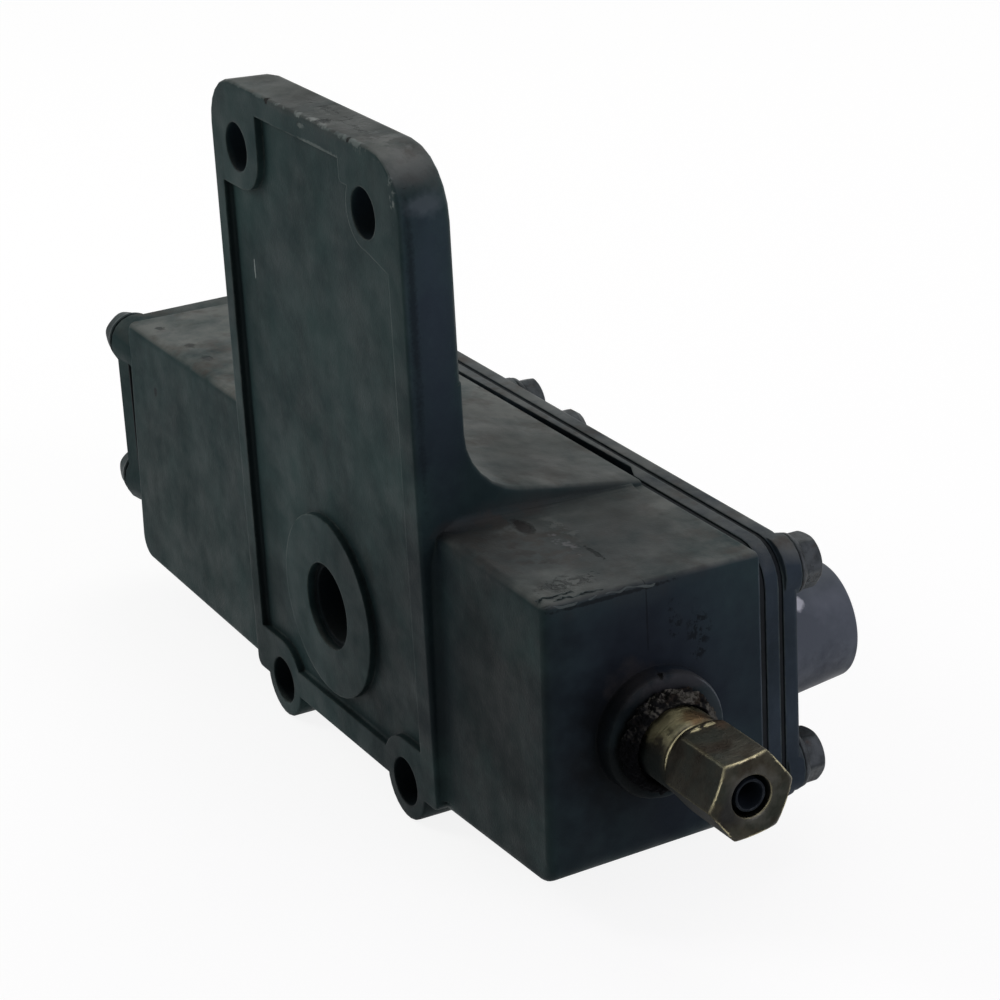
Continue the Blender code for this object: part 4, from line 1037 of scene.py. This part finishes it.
# The flange: chips on the top front edge and the right corner, dents, specks and a scratch
FLANGE_MARKS = (
    Mark((-26.1, 1.4, 81.8), (0.28, 1.0, 2.3), "#8d9795", 0.85, 0.12),
    Mark((0.0, 0.2, 116.4), (33.0, 0.6, 0.5), "#5f6a68", 0.75, 0.30, 5.0),
    Mark((2.0, 0.3, 116.5), (11.0, 0.9, 0.6), "#868d8a", 0.80, 0.25, 5.0),
    Mark((7.0, 0.8, 116.6), (4.0, 0.9, 0.6), "#959b98", 0.80, 0.20, 2.4),
    Mark((5.0, 4.4, 116.9), (14.0, 4.6, 1.0), "#565b58", 0.65, 0.40, 3.0, 0.15),
    Mark((28.0, 4.6, 116.0), (8.0, 4.4, 2.0), "#777b78", 0.50, 0.40, 4.0, 0.10),
    Mark((2.0, 5.5, 116.9), (9.0, 1.0, 1.0), "#23292a", 0.70, 0.25, 2.0, 0.25),
    Mark((14.0, 4.0, 116.9), (6.0, 0.8, 1.0), "#262c2d", 0.60, 0.25, 2.0, 0.2),
    Mark((-18.0, 4.8, 116.6), (12.0, 4.0, 1.0), "#575b58", 0.60, 0.40, 4.0),
    Mark((24.0, 0.3, 116.2), (8.0, 0.7, 0.6), "#76807d", 0.70, 0.25, 5.0),
    Mark((35.4, 0.2, 110.2), (0.9, 0.7, 4.6), "#7d8683", 0.75, 0.25, 2.4),
    Mark((7.9, 1.6, 117.0), (1.6, 1.4, 1.1), "#202728", 0.85, 0.20, 0.0, 0.5),
    Mark((1.6, 0.0, 114.7), (1.5, 1.0, 0.5), "#6f7976", 0.65, 0.30, 0.0, 0.3),
    Mark((-11.9, 0.2, 116.1), (0.8, 0.9, 0.7), "#050606", 0.95, 0.10, 0.0, 0.3),
    Mark((20.0, 0.2, 116.3), (0.6, 0.9, 0.6), "#050606", 0.95, 0.10, 0.0, 0.3),
    Mark((8.0, 0.1, 112.3), (7.5, 0.8, 0.4), "#6c7774", 0.70, 0.30),
    Mark((37.4, 4.8, 113.6), (2.6, 4.6, 2.2), "#474644", 0.60, 0.35),
    Mark((37.0, 5.5, 108.4), (1.4, 4.0, 2.0), "#5a6468", 0.50, 0.45),
    Mark((37.5, 5.0, 111.4), (1.4, 4.6, 0.4), "#0b0d10", 0.75, 0.15),
)
# Where an edge of the casting is rubbed pale
RUBBED_PLACES = (
    Mark((78.4, 32.0, 29.5), (1.6, 3.4, 6.5), "#8b9498", 0.80, 0.30),
    Mark((36.8, 0.0, 90.0), (2.6, 1.6, 30.0), "#66726f", 0.55, 0.40, 6.0),
    Mark((24.0, 0.0, 84.0), (12.0, 2.4, 34.0), "#5f6c69", 0.60, 0.40),
    Mark((0.0, 0.0, 116.0), (40.0, 2.0, 2.0), "#6b7673", 0.60, 0.30, 5.0),
    Mark((-37.0, 0.0, 60.0), (3.0, 2.0, 60.0), "#6b7775", 0.60, 0.40),
    Mark((74.6, 43.0, 30.0), (4.0, 2.0, 26.0), "#66727a", 0.60, 0.40),
)
# Spots and small dents on the rest of the body, and painted shade under the torn paint on the end face's
# top edge
BODY_MARKS = (
    Mark((-77.5, 8.1, 50.9), (1.5, 1.1, 1.0), "#2c3030", 0.75, 0.20),
    Mark((-91.0, 7.2, 50.9), (1.3, 1.0, 1.0), "#262b2b", 0.75, 0.20),
    Mark((-68.2, 7.8, 50.9), (1.8, 1.2, 1.0), "#232829", 0.70, 0.20, 0.0, 0.3),
    Mark((-85.3, 2.6, 40.0), (0.9, 1.0, 1.0), "#10171a", 0.80, 0.20),
    Mark((59.4, 21.2, 50.6), (3.6, 0.5, 1.0), "#161b1b", 0.80, 0.15, 0.0, 0.2),
    Mark((-20.6, 42.6, 50.2), (1.5, 0.9, 1.0), "#5f6764", 0.80, 0.15, 0.0, 0.3),
    Mark((68.0, 11.0, 50.9), (2.6, 6.0, 1.0), "#2a2e2e", 0.70, 0.25, 1.6, 0.35),
    # Painted shade under the torn paint along the end face's top edge
    Mark((74.4, 15.0, 49.7), (1.0, 13.0, 0.4), "#07090b", 0.65, 0.20),
)


@dataclass
class TornLip:
    """A lip of torn paint: a thin ribbon that wanders along one direction, on an edge."""

    name: str
    start: float
    stop: float
    across: float
    width: float
    height: float
    wander: float
    seed: int
    points_along: int = 240
    points_round: int = 14
    fall: float = 0.8
    rounding: float = 1.2

    def build(self, paint: bpy.types.Material) -> None:
        """Makes the ribbon.

        Its middle runs along Y on the body's top and wanders in X and Z by sums of sines with
        seeded phases. Its section is an ellipse whose size follows another such sum and falls
        to nothing at both ends. The body's top falls from its front to its back, and the ribbon
        bends down over the rounding of the body's edge.

        Args:
            paint: Its material.
        """
        chance = np.random.default_rng(self.seed)
        t = np.linspace(0.0, 1.0, self.points_along)
        along = self.start + (self.stop - self.start) * t
        sway, lift, swell = (self.wave(t, chance, count) for count in ((2, 3, 5, 9), (2, 5, 8), (3, 7, 11)))
        taper = np.clip(np.minimum(t, 1 - t) * 12.0, 0.03, 1.0) ** 0.6
        size = (0.80 + 0.20 * swell) * taper
        angle = angles(self.points_round)
        top = BODY_TOP_MM + self.fall * (1.0 - (along - BODY_FRONT_MM) / BODY_DEPTH_MM)
        x = self.across + self.wander * sway[:, None] + self.width * size[:, None] * np.cos(angle)
        z = (top + 0.10 + 0.14 * lift)[:, None] + self.height * size[:, None] * np.sin(angle)
        z -= np.clip(x - (BODY_RIGHT_MM - self.rounding), 0.0, self.rounding) ** 1.3 * 0.75
        y = np.repeat(along[:, None], angle.size, 1) + 0.3 * self.wander * sway[:, None]
        ribbon = surface(self.name, np.stack([x, y, z], -1) * MM, poles=True)
        stand_in(ribbon, paint, "painted_casting")

    @staticmethod
    def wave(t: Row, chance: np.random.Generator, counts: Sequence[int]) -> Row:
        """Sums sines of some numbers of waves, each with a seeded phase.

        Args:
            t: Places along the ribbon, from zero to one.
            chance: The seeded source of the phases.
            counts: The numbers of waves.

        Returns:
            The sum at each place, at most one either way.
        """
        total = sum(np.sin(math.tau * n * t + chance.uniform(0.0, math.tau)) / n ** 0.45 for n in counts)
        return total / np.abs(total).max()


@dataclass
class Casting:
    """The die-cast body with its marks, the plates behind it and the cap on its left end."""

    marks: tuple[Mark, ...] = SHADE_AND_TONE_MARKS + HOLE_SHADE_MARKS + END_MARKS + FLANGE_MARKS + BODY_MARKS
    seat_reach_mm: float = 0.4
    joint_run_mm: float = 5.0
    joint_slope_mm: float = 2.0

    def build(self) -> None:
        """Makes the painted castings and the torn paint on the body's right end."""
        paint = CastPaint(marks=self.marks, rubbed_places=RUBBED_PLACES).material()
        stand_in(smooth_twin("housing", "valve_body"), paint, "painted_casting", "housing")
        plain = CastPaint(name="painted_cover", base="#2a333a", light="#39444d", dust_share=0.7).material()
        for node in ("rear_cover", "intermediate_plate"):
            stand_in(smooth_twin(node, f"{node}_casting"), plain, "painted_casting", node)
        cap = smooth_twin("end_cap", "end_cap_casting")
        self.close_joint(cap)
        # The cap's dirt and painted shade in its corners are lighter than the body's
        cap_paint = CastPaint(name="painted_cap", dirt_and_shade="#253132", dust_share=0.7).material()
        stand_in(cap, cap_paint, "painted_casting", "end_cap")
        torn = CastPaint(name="torn_paint", base="#525a5a", light="#666e6d", deep="#2a3031",
                         dust="#6b716f", earth="#3c3e3c", dust_share=0.3).material()
        TornLip("torn_paint_edge", 3.2, 28.4, 74.35, 0.13, 0.24, 0.28, 5).build(torn)
        TornLip("torn_paint_flap", 5.4, 14.6, 73.2, 0.16, 0.16, 0.45, 8).build(torn)
        TornLip("torn_paint_curl", 2.6, 10.0, 71.6, 0.14, 0.16, 0.50, 12).build(torn)

    def close_joint(self, cap: bpy.types.Object) -> None:
        """Runs the cap's edge and bolt lobes into the body, because paint fills that joint.

        The points that lie beside the gasket's outer face move into the body along X, and less
        far towards the cap's middle along Y and Z, so its sides slope gently into the casting.

        Args:
            cap: The cap's own mesh.
        """
        low, high = corners("cap_gasket")
        places = np.empty(len(cap.data.vertices) * 3, np.float32)
        cap.data.vertices.foreach_get("co", places)
        points = places.reshape(-1, 3)
        seat = np.abs(points[:, 0] - low[0]) < self.seat_reach_mm * MM
        middle, half = (low + high)[1:] / 2, (high - low)[1:] / 2
        points[seat, 0] = high[0] + self.joint_run_mm * MM
        slope = 1.0 - self.joint_slope_mm * MM / half
        points[seat, 1:] = middle + (points[seat, 1:] - middle) * slope
        cap.data.vertices.foreach_set("co", points.ravel())
        cap.data.update()


@dataclass
class FlangedBolts:
    """The cover's and the cap's flanged hexagon bolts."""

    across_mm: float = 8.6
    flange_radius_mm: float = 5.3
    flange_mm: float = 1.1
    head_mm: float = 4.5
    cover_shank_mm: float = 2.8
    cap_shank_mm: float = 2.4
    chamfer_mm: float = 0.9
    cone_out_mm: float = 0.75
    cone_drop_mm: float = 0.85
    columns: int = 96
    marks: tuple[Mark, ...] = (
        # A painted highlight on a cover bolt's head, then dark dented flecks
        Mark((68.0, 56.4, 46.6), (1.6, 0.8, 1.4), "#d2d4d4", 0.85, 0.20),
        Mark((71.5, 53.5, 43.0), (3.4, 3.0, 3.0), "#262829", 0.70, 0.35, 1.6, 0.3),
    )

    def build(self) -> None:
        """Makes every bolt in the place of its CAD node."""
        steel = ZincSteel(marks=self.marks).material()
        for number in range(1, 7):
            self.bolt(f"cover_bolt_{number}", Facing.BACK, 0.35 + number * 0.7, 40.0, steel)
        painted = ZincSteel("painted_bolt_steel", "#333d3e", "#1f2728", "#7a8380", "#2d2f2c").material()
        for number in range(1, 5):
            self.bolt(f"cap_bolt_{number}", Facing.LEFT, 0.1 + number * 0.9, 9.0, painted)

    def bolt(self, node: str, facing: Facing, turn: float, crispness: float,
             steel: bpy.types.Material) -> None:
        """Makes one bolt.

        The radius is the hexagon's, softly limited by a cone at its top, and a plain circle
        at the flange, the shank and the dished top.

        Args:
            node: The CAD node that it replaces.
            facing: The way that its head points.
            turn: How far its hexagon is turned.
            crispness: How sharp its six corners still are.
            steel: Its material.
        """
        low, high = corners(node)
        along = facing.frame()[0]
        centre = (low + high) / 2
        top = float(np.max([along @ low, along @ high]))
        length = float(abs(along @ (high - low)))
        shank = (self.cover_shank_mm if facing is Facing.BACK else self.cap_shank_mm) * MM
        seat = top - self.head_mm * MM
        base = centre - along * float(along @ centre)
        angle = angles(self.columns)
        hexagon = hexagon_radius(angle, self.across_mm * MM, turn, crispness)
        round_one = np.ones_like(angle)
        flange, head = self.flange_radius_mm * MM, self.head_mm * MM
        rise = self.flange_mm * MM
        rows = [
            (top - length, round_one * shank * 0.8),
            (top - length + 0.6 * MM, round_one * shank),
            (seat, round_one * shank),
            (seat, round_one * flange * 0.97),
            (seat + rise * 0.25, round_one * flange),
            (seat + rise * 0.6, round_one * flange * 0.985),
            (seat + rise, round_one * flange * 0.9),
            (seat + rise * 1.05, soft_least(hexagon * 1.02, round_one * flange * 0.88)),
            (seat + rise * 1.5, hexagon),
        ]
        for share in np.linspace(0.0, 1.0, 7):
            height = seat + head - self.chamfer_mm * MM * (1 - share)
            reach = self.across_mm * 0.5 + self.cone_out_mm - self.cone_drop_mm * share ** 1.6
            cone = round_one * reach * MM
            rows.append((height, soft_least(hexagon, cone)))
        rim = self.across_mm * 0.5 * MM
        dish = ((0.02, 0.82), (0.28, 0.70), (0.32, 0.3))
        rows += [(seat + head - drop * MM, round_one * rim * share) for drop, share in dish]
        piece = turned(f"{node}_head", rows, base, facing)
        stand_in(piece, steel, "dark_steel", node)


@dataclass
class BrassFitting:
    """The brass fitting: collar, union nut, tube end and the crust of sealant."""

    nut_across_mm: float = 13.8
    nut_turn: float = 0.1134
    mouth_mm: float = 3.7
    columns: int = 180
    back_edge_mm: float = 6.5
    back_radius_mm: float = 6.85
    back_swell_mm: float = 1.35
    back_cone_mm: float = 3.0
    face_radius_mm: float = 8.3
    face_drop_mm: float = 1.35
    face_cone_mm: float = 0.8
    crust_foot_mm: float = 6.84
    crust_height_mm: float = 2.35
    crust_reach_mm: float = 3.4
    crust_section: int = 72
    crust_columns: int = 480
    crust_seed: int = 41
    crust_waves: int = 26
    marks: tuple[Mark, ...] = (
        Mark((104.0, 22.6, 24.2), (2.0, 5.0, 5.0), "#454440", 0.75, 0.30),
        # A painted shadow in the mouth's chamfer, to its left
        Mark((104.0, 18.6, 23.0), (2.0, 2.6, 3.6), "#15171a", 0.70, 0.40),
        # A painted highlight on the collar's top
        Mark((83.0, 20.0, 30.5), (5.5, 6.5, 4.0), "#8d886a", 0.85, 0.35),
        Mark((86.0, 23.5, 31.0), (2.4, 3.2, 1.8), "#4a3522", 0.80, 0.30),
        Mark((91.0, 26.0, 30.6), (2.4, 3.0, 1.6), "#46362a", 0.70, 0.40),
        # Painted shade on the collar's front side
        Mark((84.5, 14.5, 24.0), (5.0, 3.0, 6.0), "#0e1413", 0.80, 0.40),
        # A painted highlight: a broken bright line round the top
        Mark((90.6, 21.5, 31.6), (0.7, 5.5, 2.0), "#c9c09a", 0.80, 0.20, 1.6),
    )

    def build(self) -> None:
        """Makes the fitting's pieces in the places of their CAD nodes."""
        brass = TarnishedBrass(marks=self.marks).material()
        self.nut(brass)
        self.body(brass)
        self.tube()
        self.crust()

    def body(self, brass: bpy.types.Material) -> None:
        """Makes the threaded body with its collar and short neck, as one hollow turned piece.

        Args:
            brass: Its material.
        """
        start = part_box("fitting_body")[0][0] / MM
        seat = start + 11.0
        thread = [(start, 2.6), (start, 4.6), (start + 0.6, 5.2), (seat, 5.2)]
        collar = [(seat, 6.6), (seat + 0.2, 6.8), (seat + 4.0, 6.8), (seat + 8.2, 6.8), (seat + 8.6, 6.68)]
        neck = [(seat + 8.85, 6.4), (seat + 9.0, 6.0), (seat + 9.8, 6.0)]
        bore = [(seat + 9.8, 4.0), (seat + 4.5, 4.0), (seat + 4.5, 2.6)]
        axis = node_axis("fitting_body", Facing.RIGHT)
        piece = lathe("fitting_barrel", thread + collar + neck + bore, axis, Facing.RIGHT, ring=True)
        stand_in(piece, brass, "brass", "fitting_body")

    def tube(self) -> None:
        """Makes the end of the nylon tube, a thin ring with a rounded rim."""
        low, high = (corner[0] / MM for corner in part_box("fitting_tube"))
        wall = [(low, 2.2), (low, 2.8), (high - 0.2, 2.8)]
        rim = [(high - 0.05, 2.74), (high, 2.62), (high - 0.05, 2.4), (high - 0.3, 2.22)]
        nylon = Moulded("nylon_air_tube", "#14191e", "#1d2328", "#8e969c", 0.45, edge_mm=0.2,
                        specular=0.05)
        axis = node_axis("fitting_tube", Facing.RIGHT)
        piece = lathe("air_tube_end", wall + rim, axis, Facing.RIGHT, ring=True)
        stand_in(piece, nylon.material(), "tube_plastic", "fitting_tube")

    def nut(self, brass: bpy.types.Material) -> None:
        """Makes the union nut.

        The outer radius is the hexagon's, softly limited by a long cone at its back and a
        short one at its face. The rows then run in over the face, with one turned groove, and
        back along the mouth.

        Args:
            brass: Its material.
        """
        low, high = corners("fitting_nut")
        axis = node_axis("fitting_nut", Facing.RIGHT)
        angle = angles(self.columns)
        flats = hexagon_radius(angle, self.nut_across_mm * MM, self.nut_turn + math.pi / 6, 90.0)
        start, stop = low[0], high[0]
        rows = [
            (start, np.full_like(angle, self.back_edge_mm * MM)),
            (start + 0.25 * MM, np.full_like(angle, self.back_radius_mm * MM)),
        ]
        for share in np.linspace(0.1, 1.0, 9):
            cone = (self.back_radius_mm + self.back_swell_mm * math.sin(share * math.pi / 2)) * MM
            height = start + self.back_cone_mm * MM * share
            rows.append((height, soft_least(flats, np.full_like(angle, cone))))
        rows.append((start + 7.0 * MM, flats))
        for share in np.linspace(0.0, 1.0, 7):
            cone = (self.face_radius_mm - self.face_drop_mm * share ** 1.8) * MM
            height = stop - self.face_cone_mm * MM * (1 - share)
            rows.append((height, soft_least(flats, np.full_like(angle, cone))))
        face = rows[-1][1]
        mouth = self.mouth_mm * MM
        groove = ((0.22, 0.01), (0.50, 0.02), (0.60, 0.05), (0.70, 0.04), (0.92, 0.06), (1.0, 0.25))
        for share, drop in groove:
            rows.append((stop - drop * MM, face + (mouth - face) * share))
        rows.append((stop - 5.0 * MM, np.full_like(angle, mouth)))
        rows.append((start, np.full_like(angle, mouth)))
        nut = turned("union_nut", rows, axis, Facing.RIGHT, ring=True)
        stand_in(nut, brass, "brass", "fitting_nut")

    def crust(self) -> None:
        """Makes the crumbled sealant.

        Its base is a ring whose section leans on the collar. Each point is pushed out from the
        section's middle by a sum of folded plane waves in space, with seeded directions and
        phases and with wavelengths from 6 down to 1 mm. Folding makes creases, so it crumbles.
        """
        low = np.array(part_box("sealant_bead")[0]) / MM
        axis = node_axis("sealant_bead", Facing.RIGHT) / MM
        u, v = np.meshgrid(angles(self.crust_section), angles(self.crust_columns), indexing="ij")
        # It is thicker above the fitting, where the angle is near a quarter turn
        above = 0.5 + 0.5 * np.sin(v - 0.3)
        bulk = 0.5 + 0.5 * np.cos(u)
        radius = self.crust_foot_mm + (self.crust_height_mm + 0.55 * above) * bulk ** 0.75
        lean = (1.0 - 0.55 * bulk) * (0.5 + 0.5 * np.sin(u))
        along = low[0] + (self.crust_reach_mm + 1.3 * above) * lean
        base = np.stack([along, axis[1] + radius * np.cos(v), axis[2] + radius * np.sin(v)], -1)
        chance = np.random.default_rng(self.crust_seed)
        wavelengths = np.geomspace(6.0, 1.0, self.crust_waves)
        directions = chance.normal(size=(self.crust_waves, 3))
        directions *= (math.tau / wavelengths / np.linalg.norm(directions, axis=1))[:, None]
        phases = chance.uniform(0.0, math.tau, self.crust_waves)
        folded = 1.0 - 2.0 * np.abs(np.sin(base @ directions.T + phases))
        rubble = folded @ (wavelengths ** 0.8) / np.sum(wavelengths ** 0.8) * 2.3
        outward = np.stack([0.45 * (0.5 + 0.5 * np.sin(u)), bulk * np.cos(v), bulk * np.sin(v)], -1)
        across = (base + (1.1 * rubble * (0.35 + 0.65 * above))[..., None] * outward) * MM
        crust = surface("sealant_crust", across, close_columns=True)
        stand_in(crust, OldSealant().material(), "sealant", "sealant_bead")


@dataclass
class RoundConnector:
    """The round connector on the cover: shell, insert, pins and sealing ring."""

    marks: tuple[Mark, ...] = (
        # A painted highlight on the upper left of the shell, then a lighter patch and a darker lower side
        Mark((63.2, 57.0, 33.6), (1.7, 2.4, 2.2), "#d4d8de", 0.85, 0.20),
        Mark((62.5, 65.0, 31.0), (3.0, 6.0, 3.0), "#6f757e", 0.50, 0.45),
        Mark((64.5, 62.0, 18.0), (5.0, 11.0, 6.0), "#333840", 0.80, 0.50),
    )

    def build(self) -> None:
        """Makes the shell and dresses what sits in it."""
        moulding = Moulded("glass_filled_nylon", "#565d64", "#636a71", "#9ba1a9", 0.44,
                           specular=0.08, marks=self.marks)
        self.shell(moulding.material())
        insert = Moulded("black_insert", "#17181a", "#222427", "#3d4043", 0.5).material()
        core = smooth_twin("connector_insert", "contact_insert")
        stand_in(core, insert, "insert_plastic", "connector_insert")
        ring = Moulded("sealing_ring_rubber", "#101112", "#18191a", "#2c2d2e", 0.6).material()
        seal = smooth_twin("connector_seal", "connector_ring")
        stand_in(seal, ring, "seal_rubber", "connector_seal")
        tin = GroundSteel("tinned_contact", "#b4b4ae", "#7d7a70").material()
        for number in range(1, 5):
            dress(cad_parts[f"connector_pin_{number}"], tin)

    def shell(self, moulding: bpy.types.Material) -> None:
        """Makes the shell: flange, fillet, slightly tapered barrel, rounded rim and deep socket.

        Args:
            moulding: Its material.
        """
        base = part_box("connector_shell")[0][1] / MM
        quarter = math.pi / 2
        flange = [(0.0, 11.7), (0.15, 11.9), (1.3, 12.0), (1.5, 11.8)]
        fillet = [(1.5 + 1.2 * math.sin(a), 12.0 - 1.2 * math.cos(a)) for a in np.linspace(0.5, quarter, 6)]
        rim = [(17.0 + 0.6 * math.sin(a), 9.9 + 0.6 * math.cos(a)) for a in np.linspace(0.0, quarter, 6)]
        socket = [(17.6, 9.1), (17.35, 8.85), (17.0, 8.8), (2.4, 8.8)]
        profile = flange + fillet + rim + socket
        heights = [(base + height, radius) for height, radius in profile]
        piece = lathe("connector_barrel", heights, node_axis("connector_shell", Facing.BACK), Facing.BACK)
        stand_in(piece, moulding, "connector_plastic", "connector_shell")


@dataclass
class JointLayers:
    """The gaskets and the small plug on the cover."""

    swell_mm: float = 0.3

    def build(self) -> None:
        """Dresses the gaskets and the plug."""
        gasket = Moulded("gasket_rubber", "#14181a", "#1e2326", "#2c3235", 0.75).material()
        for node in ("joint_gasket", "cover_gasket"):
            stand_in(self.swollen(node), gasket, "gasket", node)
        dress(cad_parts["cap_gasket"], gasket)
        plug = ZincSteel(name="plug_steel").material()
        stand_in(smooth_twin("breather_plug", "vent_plug"), plug, "dark_steel", "breather_plug")

    def swollen(self, node: str) -> bpy.types.Object:
        """Makes a gasket squeezed out of its joint: each point moves along its normal.

        Args:
            node: The gasket's CAD node.

        Returns:
            The object.
        """
        piece = smooth_twin(node, f"{node}_squeezed")
        count = len(piece.data.vertices)
        places = np.empty(count * 3, np.float32)
        normals = np.empty(count * 3, np.float32)
        piece.data.vertices.foreach_get("co", places)
        piece.data.vertices.foreach_get("normal", normals)
        piece.data.vertices.foreach_set("co", places + normals * np.float32(self.swell_mm * MM))
        piece.data.update()
        return piece


@dataclass
class SpoolValve:
    """The spool in its bore, its seals and its return spring."""

    turns: float = 7.5
    wire_mm: float = 0.75
    coil_mm: float = 5.6
    points_a_turn: int = 28
    points_round: int = 12
    keep: float = 0.8

    def build(self) -> None:
        """Dresses the spool and its seals, and makes the spring."""
        steel = GroundSteel().material()
        dress(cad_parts["spool"], steel)
        rubber = Moulded("seal_ring_rubber", "#101011", "#171718", "#262627", 0.5).material()
        for number in range(1, 5):
            dress(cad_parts[f"spool_seal_{number}"], rubber)
        self.spring()

    def spring(self) -> None:
        """Makes the return spring at one fixed length; on the valve it shortens as the spool comes towards
        it.

        A circle of the wire's radius is carried along a helix whose rise is slow at both ends,
        where its coils lie closed.
        """
        low, high = corners("return_spring")
        axis = np.array([0.0, *((low + high) / 2)[1:]])
        wire, coil = self.wire_mm * MM, self.coil_mm * MM
        t = np.linspace(0.0, 1.0, int(self.turns * self.points_a_turn))
        angle = math.tau * self.turns * t
        eased = np.interp(t, [0.0, 0.13, 0.87, 1.0], [0.0, 0.045, 0.955, 1.0])
        along = low[0] + wire + (high[0] - low[0] - 2 * wire) * eased
        outward = np.stack([np.zeros_like(t), np.cos(angle), np.sin(angle)], -1)
        middle = outward * coil + np.stack([along, 0 * t, 0 * t], -1) + axis
        tangent = np.gradient(middle, axis=0)
        tangent /= np.linalg.norm(tangent, axis=1, keepdims=True)
        side = np.cross(tangent, outward)
        turn = angles(self.points_round)
        points = middle[:, None] + wire * (np.cos(turn)[None, :, None] * outward[:, None]
                                           + np.sin(turn)[None, :, None] * side[:, None])
        spring = surface("coil_spring", points, poles=True)
        dress(spring, GroundSteel("spring_wire", "#5d5f60", "#39342b").material())
        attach(spring, VALVE)
        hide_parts("return_spring")
        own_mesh(spring)
        log.info("made coil_spring for return_spring")


def main() -> None:
    """Builds the studio and dresses each sub-assembly in turn."""
    logging.basicConfig(level=logging.INFO, format="%(name)s: %(message)s")
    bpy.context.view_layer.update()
    for assembly in (Studio(), Casting(), JointLayers(), FlangedBolts(), BrassFitting(), RoundConnector(),
                     SpoolValve()):
        assembly.build()
        log.info("built %s", type(assembly).__name__)


if __name__ == "__main__":
    main()
